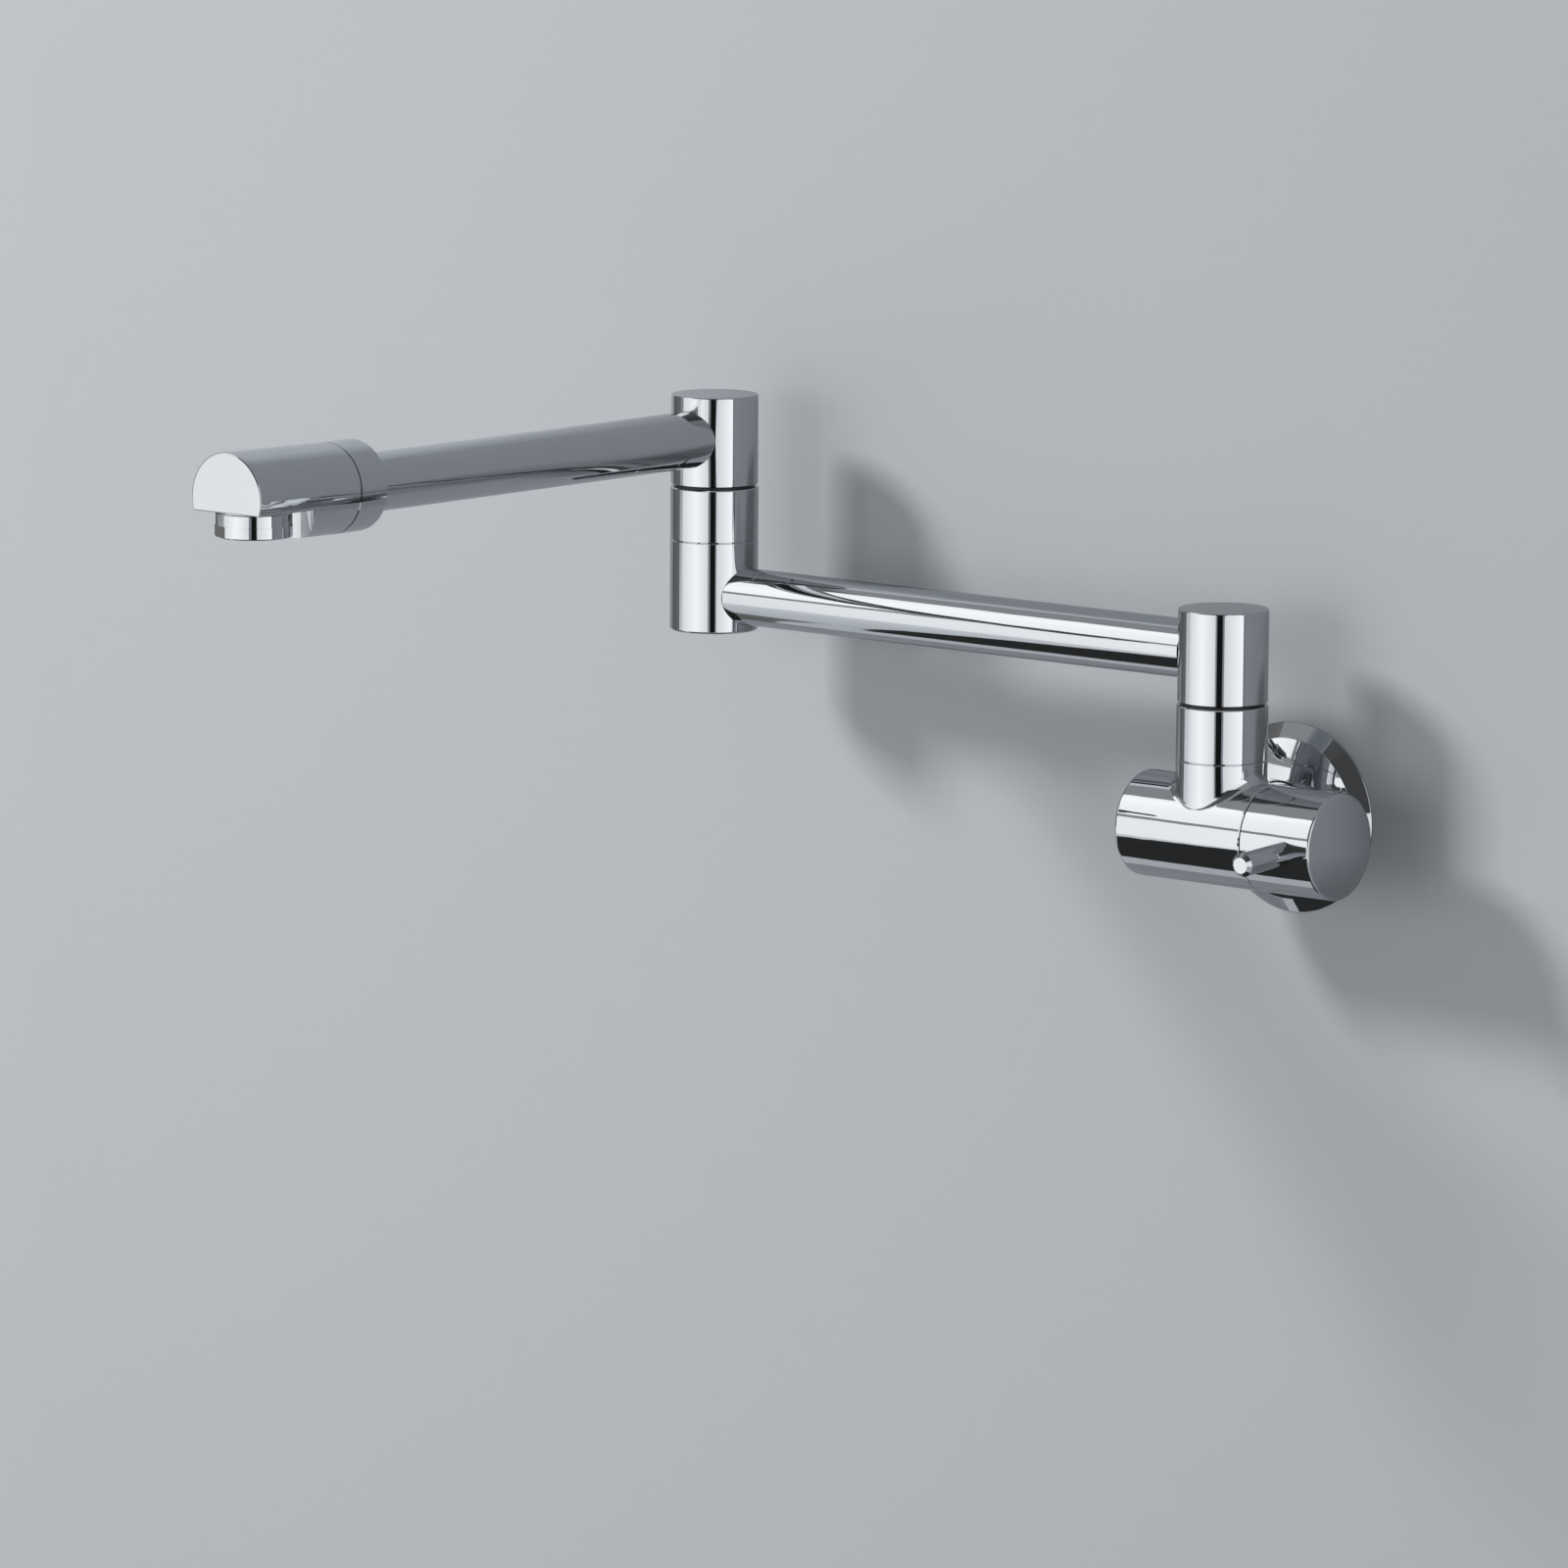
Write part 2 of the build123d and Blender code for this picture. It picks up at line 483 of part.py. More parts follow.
def cartridge_spindle():
    """Spindle: lug and foot on the disc, two O-ring grooves, clip groove and splined end."""
    foot = bar(DISC_DIA, MOVING_DISC_END + FACE_GAP, SPINDLE_FOOT_END)
    foot = foot & Pos(0, 0, SPINDLE_FOOT_END) * Box(2 * DISC_DIA, SPINDLE_FOOT_WIDTH, 2 * DISC_DIA)
    lug_room = SPINDLE_LUG_DEPTH + FACE_GAP
    lug_box = Box(SPINDLE_DIA, SPINDLE_LUG_WIDTH, 2 * lug_room)
    lug = Pos(0, 0, MOVING_DISC_END + FACE_GAP) * lug_box
    shaft = bar(SPINDLE_DIA, SPINDLE_FOOT_END, SPLINE_START)
    teeth = spline_bar(SPLINE_DIA, SPLINE_START, SPINDLE_END)
    spindle = Rot(0, 0, -45) * (foot + lug) + shaft + teeth
    groove_dia = SPINDLE_DIA - 2 * SPINDLE_RING_SECTION
    for place in SPINDLE_RINGS:
        middle = CART_CHAMBER_END + place
        half = SPINDLE_RING_WIDTH / 2
        spindle = spindle - sleeve(2 * SPINDLE_DIA, groove_dia, middle - half, middle + half)
    clip_groove_dia = SPINDLE_DIA - 2 * CLIP_GROOVE
    clip_end = SPINDLE_CLIP_START + CLIP_THICK
    spindle = spindle - sleeve(2 * SPINDLE_DIA, clip_groove_dia, SPINDLE_CLIP_START, clip_end)
    return VALVE_FRAME * spindle


def spindle_washer():
    """Slippery washer between the spindle's foot and the end of the chamber."""
    washer = sleeve(CART_CHAMBER_DIA - 2 * RUNNING_GAP, SPINDLE_DIA + 2 * SEAL_GAP,
                    SPINDLE_FOOT_END, SPINDLE_FOOT_END + SPINDLE_WASHER_THICK)
    return VALVE_FRAME * washer


def spindle_o_rings():
    """Two rings that seal the spindle in its bore."""
    inner = SPINDLE_DIA - 2 * SPINDLE_RING_SECTION + 2 * SEAL_GAP
    rings = [o_ring(inner, SPINDLE_DIA, CART_CHAMBER_END + place) for place in SPINDLE_RINGS]
    return VALVE_FRAME * Compound(children=rings)


def spindle_clip():
    """Spring clip that keeps the spindle in the cartridge."""
    inner = SPINDLE_DIA - 2 * CLIP_GROOVE + 2 * SEAL_GAP
    outer = SPINDLE_DIA + 2 * CLIP_STAND
    return VALVE_FRAME * retaining_clip(inner, outer, SPINDLE_CLIP_OPENING, SPINDLE_CLIP_START, CLIP_THICK)


# ---- handle ---------------------------------------------------------------------------------------------------------
# The lever lies in a plane across the valve axis, so it is drawn along Z and turned about that axis.
LEVER_FRAME = Location((LEVER_X, -VALVE_REACH, 0), (90 + LEVER_DROP, 0, 0))
SCREW_FRAME = Location((LEVER_X, -VALVE_REACH, 0), (LEVER_DROP - 90, 0, 0))


def handle_barrel():
    """Turning end of the valve: hollow over the cartridge, splined on the spindle, closed at the end."""
    solid = bar(VALVE_DIA, HANDLE_START, HANDLE_END)
    solid = fillet(top_edges(solid), HANDLE_ROUND)
    solid = chamfer(bottom_edges(solid), SEAM_BREAK)
    hollow = bar(VALVE_DIA - 2 * HANDLE_WALL, HANDLE_START - 1, SPLINE_START + HANDLE_HOLLOW_ROOM)
    spline = spline_bar(SPLINE_DIA + 2 * SEAL_GAP, HANDLE_START, SPINDLE_END + 2 * SEAL_GAP)
    barrel = VALVE_FRAME * (solid - hollow - spline)
    surface = VALVE_DIA / 2
    lever_seat = bar(LEVER_DIA + 2 * SEAL_GAP, surface - LEVER_SEAT, 2 * surface)
    lever_thread = bar(LEVER_THREAD_DIA + 2 * SEAL_GAP, surface - LEVER_SEAT - LEVER_THREAD_LENGTH, surface)
    screw_hole = bar(SCREW_DIA + 2 * SEAL_GAP, SPLINE_DIA / 2 - SPLINE_DEPTH, 2 * surface)
    return barrel - LEVER_FRAME * (lever_seat + lever_thread) - SCREW_FRAME * screw_hole


def handle_lever():
    """Pin lever with a bevelled tip, screwed into its seat in the handle barrel."""
    surface = VALVE_DIA / 2
    rod = bar(LEVER_DIA, surface - LEVER_SEAT, surface + LEVER_OUT)
    rod = chamfer(top_edges(rod), LEVER_TIP)
    thread = bar(LEVER_THREAD_DIA, surface - LEVER_SEAT - LEVER_THREAD_LENGTH, surface)
    return LEVER_FRAME * (rod + thread)


def handle_screw():
    """Headless screw, on the wall side, that presses on the spindle."""
    tip = SPLINE_DIA / 2 + SEAL_GAP
    screw = bar(SCREW_DIA, tip, tip + SCREW_LENGTH)
    key = hexagon_bar(SCREW_KEY, tip + SCREW_LENGTH - SCREW_KEY_DEPTH, tip + SCREW_LENGTH + 1)
    return SCREW_FRAME * (screw - key)


# ---- swivel set, drawn with the seam under its collar at height 0 ----------------------------------------------------
def swivel_collar():
    """Plain ring with a threaded spigot below; the stem turns in its bore."""
    ring = bar(COLUMN_DIA, 0, COLLAR_HEIGHT)
    ring = chamfer(top_edges(ring) + bottom_edges(ring), SEAM_BREAK)
    spigot = bar(SPIGOT_DIA, -SPIGOT_LENGTH, 0)
    return ring + spigot - bar(STEM_DIA + 2 * RUNNING_GAP, -SPIGOT_LENGTH - 1, COLLAR_HEIGHT + 1)


def swivel_stem():
    """Hollow stem: thread in the knuckle above, O-ring grooves in the collar, clip groove below."""
    shoulder = COLLAR_HEIGHT + SWIVEL_GAP
    clip_low = -SPIGOT_LENGTH - FACE_GAP - CLIP_THICK
    low = clip_low - STEM_TIP
    stem = bar(STEM_DIA, low, shoulder)
    stem = stem + bar(STEM_THREAD_DIA, shoulder, shoulder + STEM_THREAD_LENGTH)
    for middle in STEM_RINGS:
        half = RING_GROOVE_WIDTH / 2
        stem = stem - sleeve(2 * STEM_DIA, STEM_DIA - 2 * RING_SECTION, middle - half, middle + half)
    stem = stem - sleeve(2 * STEM_DIA, STEM_DIA - 2 * CLIP_GROOVE, clip_low, clip_low + CLIP_THICK)
    return stem - bar(STEM_BORE, low - 1, shoulder + STEM_THREAD_LENGTH + 1)


def swivel_o_rings():
    """Two rings that seal the stem in the collar."""
    inner = STEM_DIA - 2 * RING_SECTION + 2 * SEAL_GAP
    return Compound(children=[o_ring(inner, STEM_DIA, middle) for middle in STEM_RINGS])


def swivel_clip():
    """Spring clip under the spigot that keeps the stem from lifting."""
    low = -SPIGOT_LENGTH - FACE_GAP - CLIP_THICK
    inner = STEM_DIA - 2 * CLIP_GROOVE + 2 * SEAL_GAP
    return retaining_clip(inner, STEM_DIA + 2 * CLIP_STAND, CLIP_OPENING, low, CLIP_THICK)


def glide_washer():
    """Slippery washer that carries the knuckle, set back from the outline so that the seam looks dark."""
    outer = KNUCKLE_DIA - 2 * WASHER_SET_BACK
    top = COLLAR_HEIGHT + SWIVEL_GAP - FACE_GAP
    return sleeve(outer, STEM_DIA + 4 * RUNNING_GAP, COLLAR_HEIGHT, top)


# ---- knuckles and arms -----------------------------------------------------------------------------------------------
def knuckle(arm_side):
    """Closed-top knuckle: the stem screws in from below, the arm tube enters on one side."""
    solid = bar(KNUCKLE_DIA, 0, KNUCKLE_HEIGHT)
    solid = fillet(top_edges(solid), EDGE_ROUND)
    solid = chamfer(bottom_edges(solid), SEAM_BREAK)
    bore = bar(KNUCKLE_BORE, -1, KNUCKLE_HEIGHT - KNUCKLE_ROOF)
    arm_hole = bar(TUBE_DIA + 2 * BRAZE_GAP, 0, KNUCKLE_DIA)
    return solid - bore - Pos(0, 0, KNUCKLE_ARM_HEIGHT) * arm_side * arm_hole


def wall_knuckle():
    """Knuckle above the valve, with the lower arm on its left."""
    return Pos(0, -VALVE_REACH, KNUCKLE_BOTTOM) * knuckle(Rot(0, -90, 0))


def upper_knuckle():
    """Knuckle above the elbow, with the upper arm on its front."""
    return Pos(-LOWER_ARM_LENGTH, -VALVE_REACH, UPPER_KNUCKLE_BOTTOM) * knuckle(Rot(90, 0, 0))


def elbow_knuckle():
    """Closed-bottom knuckle at the end of the lower arm; its top takes the upper collar."""
    solid = bar(COLUMN_DIA, 0, ELBOW_HEIGHT)
    solid = fillet(bottom_edges(solid), ELBOW_ROUND)
    solid = chamfer(top_edges(solid), SEAM_BREAK)
    bore = bar(KNUCKLE_BORE, ELBOW_FLOOR, ELBOW_HEIGHT)
    socket = bar(SOCKET_BORE, ELBOW_HEIGHT - SOCKET_DEPTH, ELBOW_HEIGHT + 1)
    arm_hole = Pos(0, 0, ELBOW_ARM_HEIGHT) * Rot(0, 90, 0) * bar(TUBE_DIA + 2 * BRAZE_GAP, 0, COLUMN_DIA)
    elbow = solid - bore - socket - arm_hole
    return Pos(-LOWER_ARM_LENGTH, -VALVE_REACH, ELBOW_BOTTOM) * elbow


def lower_arm_tube():
    """Tube from the wall knuckle to the elbow knuckle; each end stops clear of the bore."""
    start = SOCKET_BORE / 2 + BRAZE_GAP
    return LOWER_ARM_FRAME * sleeve(TUBE_DIA, TUBE_BORE, start, LOWER_ARM_LENGTH - start)


def upper_arm_tube():
    """Tube from the upper knuckle into the spout collar."""
    start = KNUCKLE_BORE / 2 + BRAZE_GAP
    return SPOUT_FRAME * sleeve(TUBE_DIA, TUBE_BORE, start, SPOUT_COLLAR_START + TUBE_STOP)


# ---- spout, drawn along the upper arm -----------------------------------------------------------------------------------
def spout_collar():
    """Ring brazed on the tube; its threaded spigot goes into the spout head."""
    ring = bar(HEAD_DIA, SPOUT_COLLAR_START, HEAD_START)
    ring = chamfer(top_edges(ring), SEAM_BREAK)
    ring = fillet(bottom_edges(ring), EDGE_ROUND)
    spigot = bar(SPOUT_SPIGOT_DIA, HEAD_START, HEAD_START + SPIGOT_LENGTH)
    middle = HEAD_START + SPOUT_RING_PLACE
    half = SPOUT_RING_WIDTH / 2
    groove_dia = SPOUT_SPIGOT_DIA - 2 * SPOUT_RING_SECTION
    groove = sleeve(2 * SPOUT_SPIGOT_DIA, groove_dia, middle - half, middle + half)
    tube_end = SPOUT_COLLAR_START + TUBE_STOP
    tube_socket = bar(TUBE_DIA + 2 * BRAZE_GAP, SPOUT_COLLAR_START - 1, tube_end)
    waterway = bar(TUBE_BORE, tube_end - 1, HEAD_START + SPIGOT_LENGTH + 1)
    return SPOUT_FRAME * (ring + spigot - groove - tube_socket - waterway)


def spout_o_ring():
    """Ring that seals the head on the spigot."""
    inner = SPOUT_SPIGOT_DIA - 2 * SPOUT_RING_SECTION + 2 * SEAL_GAP
    return SPOUT_FRAME * o_ring(inner, SPOUT_SPIGOT_DIA, HEAD_START + SPOUT_RING_PLACE)


def spout_head():
    """Barrel with a flat front; its underside is cut flat and hollowed round the aerator."""
    slab = Pos(0, 0, HEAD_START) * Box(2 * HEAD_DIA, 2 * HEAD_DIA, HEAD_LENGTH, align=LOW_FACE)
    lifted = Pos(0, 0, HEAD_START) * Rot(-HEAD_LIFT, 0, 0) * bar(HEAD_DIA, -HEAD_DIA, 2 * HEAD_LENGTH)
    solid = chamfer(bottom_edges(slab & lifted), SEAM_BREAK)
    cut = bar(2 * HEAD_CUT_RADIUS, -HEAD_DIA, 0)
    half_ahead = Box(2 * HEAD_DIA, 2 * HEAD_CUT_RADIUS, HEAD_DIA, align=(Align.CENTER, Align.MAX, Align.MAX))
    blank = SPOUT_FRAME * solid - AERATOR_FRAME * (cut + half_ahead)
    front_edges = blank.edges().group_by(Axis.Y)[0]
    blank = fillet(front_edges, HEAD_ROUND)
    socket = bar(SPOUT_SPIGOT_DIA + 2 * THREAD_GAP, HEAD_START - 1, HEAD_START + HEAD_SOCKET_DEPTH)
    rear_bore = bar(HEAD_REAR_BORE, HEAD_START, HEAD_REAR_BORE_END)
    port_start = HEAD_REAR_BORE_END - HEAD_PORT_DIA / 2
    port = Pos(0, HEAD_PORT_RISE, 0) * bar(HEAD_PORT_DIA, port_start, SPOUT_REACH)
    thread = bar(AERATOR_THREAD_DIA + 2 * THREAD_GAP, -1, AERATOR_THREAD_LENGTH + AERATOR_WASHER_THICK)
    chamber = bar(AERATOR_CHAMBER_DIA, 0, AERATOR_CHAMBER_TOP)
    return blank - SPOUT_FRAME * (socket + rear_bore + port) - AERATOR_FRAME * (thread + chamber)


# ---- aerator, drawn with the head's flat underside at height 0 -------------------------------------------------------------
RING_BOTTOM = -AERATOR_SHADOW_GAP - AERATOR_RING_HEIGHT
FOOT_BOTTOM = RING_BOTTOM - AERATOR_FOOT_HEIGHT
INSERT_BOTTOM = FOOT_BOTTOM + AERATOR_LIP
INSERT_TOP = AERATOR_THREAD_LENGTH - SCREEN_THICK - DIFFUSER_THICK


def aerator_housing():
    """Chromed ring with a male thread above, two wrench flats on its foot and a lip inside."""
    thread = bar(AERATOR_THREAD_DIA, -AERATOR_SHADOW_GAP, AERATOR_THREAD_LENGTH)
    ring = bar(AERATOR_RING_DIA, RING_BOTTOM, -AERATOR_SHADOW_GAP)
    ring = chamfer(top_edges(ring), SEAM_BREAK)
    foot = chamfer(bottom_edges(bar(AERATOR_FOOT_DIA, FOOT_BOTTOM, RING_BOTTOM)), SEAM_BREAK)
    flats = Pos(0, 0, FOOT_BOTTOM) * Box(AERATOR_THREAD_DIA, 2 * AERATOR_FOOT_DIA, 3 * AERATOR_FOOT_HEIGHT)
    foot = foot & Rot(0, 0, AERATOR_FLATS_TURN) * flats
    bore = bar(AERATOR_BORE, INSERT_BOTTOM, AERATOR_THREAD_LENGTH + 1)
    lip_bore = bar(AERATOR_LIP_BORE, FOOT_BOTTOM - 1, INSERT_BOTTOM + 1)
    return AERATOR_FRAME * (thread + ring + foot - bore - lip_bore)


def aerator_washer():
    """Flat rubber washer between the housing and the head."""
    top = AERATOR_THREAD_LENGTH + AERATOR_WASHER_THICK
    return AERATOR_FRAME * sleeve(AERATOR_THREAD_DIA, AERATOR_CHAMBER_DIA, AERATOR_THREAD_LENGTH, top)


def aerator_insert():
    """Moulded insert: a cup whose bottom is a honeycomb that straightens the flow."""
    outer = AERATOR_BORE - 2 * SEAL_GAP
    cup = bar(outer, INSERT_BOTTOM, INSERT_TOP)
    cup = cup - bar(outer - 2 * INSERT_WALL, INSERT_BOTTOM + INSERT_GRID, INSERT_TOP + 1)
    pitch = GRID_CELL + GRID_WEB
    row = pitch * math.sqrt(3) / 2
    reach = AERATOR_LIP_BORE / 2 - GRID_CELL / math.sqrt(3)
    steps = int(reach / row) + 1
    spots = [((i + (j % 2) / 2) * pitch, j * row) for j in range(-steps, steps + 1) for i in range(-steps, steps + 1)]
    low = INSERT_BOTTOM - 1
    cell = Rot(0, 0, 30) * hexagon_bar(GRID_CELL, low, INSERT_BOTTOM + INSERT_GRID + 1)
    cells = [Pos(x, y, 0) * cell for x, y in spots if math.hypot(x, y) < reach]
    return AERATOR_FRAME * (cup - cells)


def aerator_diffuser():
    """Plate with a ring of jets that draws air into the water."""
    plate = bar(AERATOR_BORE - 2 * SEAL_GAP, INSERT_TOP, INSERT_TOP + DIFFUSER_THICK)
    jet = Pos(AERATOR_BORE / 3, 0, 0) * bar(DIFFUSER_HOLE_DIA, INSERT_TOP - 1, INSERT_TOP + DIFFUSER_THICK + 1)
    jets = [Rot(0, 0, 360 * i / DIFFUSER_HOLES) * jet for i in range(DIFFUSER_HOLES)]
    return AERATOR_FRAME * (plate - jets)


def aerator_screen():
    """Steel screen over the diffuser."""
    screen = mesh_disc(AERATOR_BORE - 2 * SEAL_GAP, SCREEN_THICK, SCREEN_MESH, SCREEN_PITCH)
    return AERATOR_FRAME * Pos(0, 0, INSERT_TOP + DIFFUSER_THICK) * screen


# ---- the assembly --------------------------------------------------------------------------------------------------------------
NODES = {
    "wall_flange": wall_flange(),
    "flange_grip_ring": flange_grip_ring(),
    "wall_gasket": wall_gasket(),
    "inlet_nipple": inlet_nipple(),
    "nipple_washer": nipple_washer(),
    "inlet_strainer": inlet_strainer(),
    "valve_body": valve_body(),
    "cartridge_body": cartridge_body(),
    "cartridge_seat_seal": cartridge_seat_seal(),
    "cartridge_o_ring": cartridge_o_ring(),
    "fixed_disc": fixed_disc(),
    "moving_disc": moving_disc(),
    "cartridge_spindle": cartridge_spindle(),
    "spindle_washer": spindle_washer(),
    "spindle_o_rings": spindle_o_rings(),
    "spindle_clip": spindle_clip(),
    "handle_barrel": handle_barrel(),
    "handle_lever": handle_lever(),
    "handle_screw": handle_screw(),
    "lower_collar": COLUMN_FRAME * swivel_collar(),
    "lower_glide_washer": COLUMN_FRAME * glide_washer(),
    "lower_stem": COLUMN_FRAME * swivel_stem(),
    "lower_stem_o_rings": COLUMN_FRAME * swivel_o_rings(),
    "lower_stem_clip": COLUMN_FRAME * swivel_clip(),
    "wall_knuckle": wall_knuckle(),
    "lower_arm_tube": lower_arm_tube(),
    "elbow_knuckle": elbow_knuckle(),
    "upper_collar": ELBOW_FRAME * swivel_collar(),
    "upper_glide_washer": ELBOW_FRAME * glide_washer(),
    "upper_stem": ELBOW_FRAME * swivel_stem(),
    "upper_stem_o_rings": ELBOW_FRAME * swivel_o_rings(),
    "upper_stem_clip": ELBOW_FRAME * swivel_clip(),
    "upper_knuckle": upper_knuckle(),
    "upper_arm_tube": upper_arm_tube(),
    "spout_collar": spout_collar(),
    "spout_o_ring": spout_o_ring(),
    "spout_head": spout_head(),
    "aerator_housing": aerator_housing(),
    "aerator_washer": aerator_washer(),
    "aerator_insert": aerator_insert(),
    "aerator_diffuser": aerator_diffuser(),
    "aerator_screen": aerator_screen(),
}

os.makedirs("parts", exist_ok=True)
for name, piece in NODES.items():
    export_step(piece, f"parts/{name}.step")
print(len(NODES), "pieces written")
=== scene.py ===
# %% [markdown]
# # Wall mounted pot filler in polished chrome
# The tap hangs on the wall over a cooker and folds out on two arms. Its brass pieces are turned, cast, drawn
# or pressed, then polished and chrome plated, so the whole object is a mirror. A mirror has no colour of its
# own: what the eye reads as its shape is the room bent round each piece. So this lesson spends as much care
# on the stage, the white cloths and the dark cards as on the metal.
#
# The imported model is loaded first. It brings every solid piece in place, in metres, and the bodies that move;
# the pieces are freed from those bodies with their places kept, and the bodies and every other object that
# isn't a mesh are removed.

# %% load the imported model
import math
import bpy
from mathutils import Matrix, Vector


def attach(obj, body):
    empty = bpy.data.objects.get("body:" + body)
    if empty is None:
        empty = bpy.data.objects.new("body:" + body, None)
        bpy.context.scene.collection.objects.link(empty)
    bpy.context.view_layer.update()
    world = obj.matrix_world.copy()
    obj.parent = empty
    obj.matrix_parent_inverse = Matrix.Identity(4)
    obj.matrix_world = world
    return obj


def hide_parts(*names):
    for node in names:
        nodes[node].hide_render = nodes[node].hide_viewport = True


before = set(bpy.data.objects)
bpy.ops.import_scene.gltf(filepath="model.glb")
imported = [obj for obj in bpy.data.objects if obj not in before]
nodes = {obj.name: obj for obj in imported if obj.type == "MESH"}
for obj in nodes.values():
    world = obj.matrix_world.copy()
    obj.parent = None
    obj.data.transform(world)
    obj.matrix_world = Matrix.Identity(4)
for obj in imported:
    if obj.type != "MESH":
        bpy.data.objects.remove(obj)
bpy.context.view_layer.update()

# %% [markdown]
# ## Measures
# Patterns and pieces are worked out in millimetres, because a turner or a plater thinks in them. One number
# turns them into Blender's metres. A texture's scale counts features per metre, so a pattern of a known size
# gets one divided by that size.
#
# The wall is the plane Y = 0. The inlet axis runs through the origin along Y, X is along the wall and Z is
# up.

# %% millimetres
MM = 0.001


def mm(*numbers):
    """Millimetres to a Blender vector in metres."""
    return Vector(numbers) * MM


def one_per(size_mm):
    """The texture scale that draws about one feature in this size."""
    return 1 / (size_mm * MM)


print("one millimetre is", MM, "in the scene; a grain of 1 mm has the scale", one_per(1))

# %% [markdown]
# ## Colour
# The colours are written as the hex values that a colour picker gives. Blender's shaders work in linear
# light, so one function takes the sRGB curve off.

# %% hex to linear light
def hex_colour(text):
    """#rrggbb to a linear RGBA tuple."""
    parts = [int(text.lstrip("#")[i:i + 2], 16) / 255 for i in (0, 2, 4)]
    linear = [p / 12.92 if p <= 0.04045 else ((p + 0.055) / 1.055) ** 2.4 for p in parts]
    return (*linear, 1.0)


print("mid grey #808080 is", round(hex_colour("#808080")[0], 3), "in linear light")

# %% [markdown]
# ## One helper for every shader node
# A material is a small graph. This helper adds any node by its type, sets its properties, and fills or links
# its inputs: a number or colour is set on the socket, and an output socket is linked to it. Each material
# below then reads like a recipe.

# %% add a node with its settings and links
def add(tree, kind, settings=None, **inputs):
    """Add one node. settings are its properties. inputs are socket names, with _ for a space, or i and the
    socket's number where two sockets share a name."""
    node = tree.nodes.new(kind)
    for name, value in (settings or {}).items():
        setattr(node, name, value)
    for name, value in inputs.items():
        key = int(name[1:]) if name[0] == "i" and name[1:].isdigit() else name.replace("_", " ")
        socket = node.inputs[key]
        if isinstance(value, bpy.types.NodeSocket):
            tree.links.new(value, socket)
        else:
            socket.default_value = value
    return node


def new_material(name):
    """An empty node material and its node tree."""
    material = bpy.data.materials.new(name)
    material.use_nodes = True
    material.node_tree.nodes.clear()
    return material, material.node_tree


print("helpers ready")

# %% [markdown]
# ## Polished chrome plate
# Chromium is a slightly blue grey metal that sends back about six tenths of the light. Plated on polished
# brass it is a mirror, but never a perfect one. Three things give it away: a very shallow waviness left by
# the polishing wheel, hair-fine scratches from wiping, and the faint film that a cloth leaves. The waviness
# bends the edges of whatever the metal mirrors; the other two only soften them a little.
#
# The waviness could be modelled into the meshes. Its slopes are only fractions of a degree, so a bump drawn
# by a noise pattern gives the same mirror, and the shape stays as it was packed. The pieces differ in how
# they were made before plating, and the waviness follows that: a drawn tube is long and straight, a turned
# ring has rings round its axis, and a casting is lumpy all over. One builder makes them all, with the size of
# the wave and of the scratches along each axis in millimetres.

# %% chrome plate builder
CHROMIUM = "#cdd0d3"
BARE_DULLNESS = 0.025
FILM_DULLNESS = 0.02
FILM_MM = 15
SCRATCH_DULLNESS = 0.02
SCRATCH_DEPTH_MM = 0.00012


def chrome_plate(name, wave_mm, wave_depth_mm, scratch_mm=(0.5, 0.5, 0.5)):
    """Polished chrome; wave_mm and scratch_mm are sizes along X, Y and Z."""
    material, tree = new_material(name)
    place = add(tree, "ShaderNodeTexCoord").outputs["Object"]
    wave_scale = [one_per(size) for size in wave_mm]
    wave_place = add(tree, "ShaderNodeMapping", Vector=place, Scale=wave_scale)
    wave = add(tree, "ShaderNodeTexNoise", Vector=wave_place.outputs[0], Scale=1.0, Detail=1.0, Roughness=0.4)
    # real scratches are hundredths of a millimetre wide, and are drawn coarser so that they show
    hair_scale = [one_per(size) for size in scratch_mm]
    hair_place = add(tree, "ShaderNodeMapping", Vector=place, Scale=hair_scale)
    hair = add(tree, "ShaderNodeTexNoise", Vector=hair_place.outputs[0], Scale=1.0, Detail=4.0, Roughness=0.7)
    # the film lies in patches, and dulls the mirror a little more there
    film_scale = [one_per(FILM_MM)] * 3
    film_place = add(tree, "ShaderNodeMapping", Vector=place, Scale=film_scale)
    film = add(tree, "ShaderNodeTexNoise", Vector=film_place.outputs[0], Scale=1.0, Detail=3.0, Roughness=0.6)
    dull = add(tree, "ShaderNodeMapRange", Value=film.outputs["Fac"], From_Min=0.45, From_Max=0.75,
               To_Min=BARE_DULLNESS, To_Max=BARE_DULLNESS + FILM_DULLNESS)
    fine = add(tree, "ShaderNodeMath", {"operation": "MULTIPLY_ADD"}, i0=hair.outputs["Fac"],
               i1=SCRATCH_DULLNESS, i2=dull.outputs[0])
    wavy = add(tree, "ShaderNodeBump", Height=wave.outputs["Fac"], Strength=1.0, Distance=wave_depth_mm * MM)
    scratched = add(tree, "ShaderNodeBump", Height=hair.outputs["Fac"], Strength=1.0,
                    Distance=SCRATCH_DEPTH_MM * MM, Normal=wavy.outputs[0])
    metal = add(tree, "ShaderNodeBsdfPrincipled", Base_Color=hex_colour(CHROMIUM), Metallic=1.0,
                Roughness=fine.outputs[0], Normal=scratched.outputs[0])
    add(tree, "ShaderNodeOutputMaterial", Surface=metal.outputs[0])
    return material


print("chromium base colour", CHROMIUM)

# %% [markdown]
# ### The chrome of each kind of piece
# * Arms: drawn brass tube. The wave is long along the tube and short round it. The lower arm runs along X and
#   the upper arm along Y, so they are two materials.
# * Knuckles and collars: turned from bar. The wave is long up the column and shorter round it, and the
#   scratches run round it. The lever, the spout collar and the aerator ring are turned too, and are small
#   enough to share this chrome.
# * Valve body, handle and spout head: castings, polished by hand on a felt wheel.
# * Flange: pressed from sheet, with the gentlest wave.

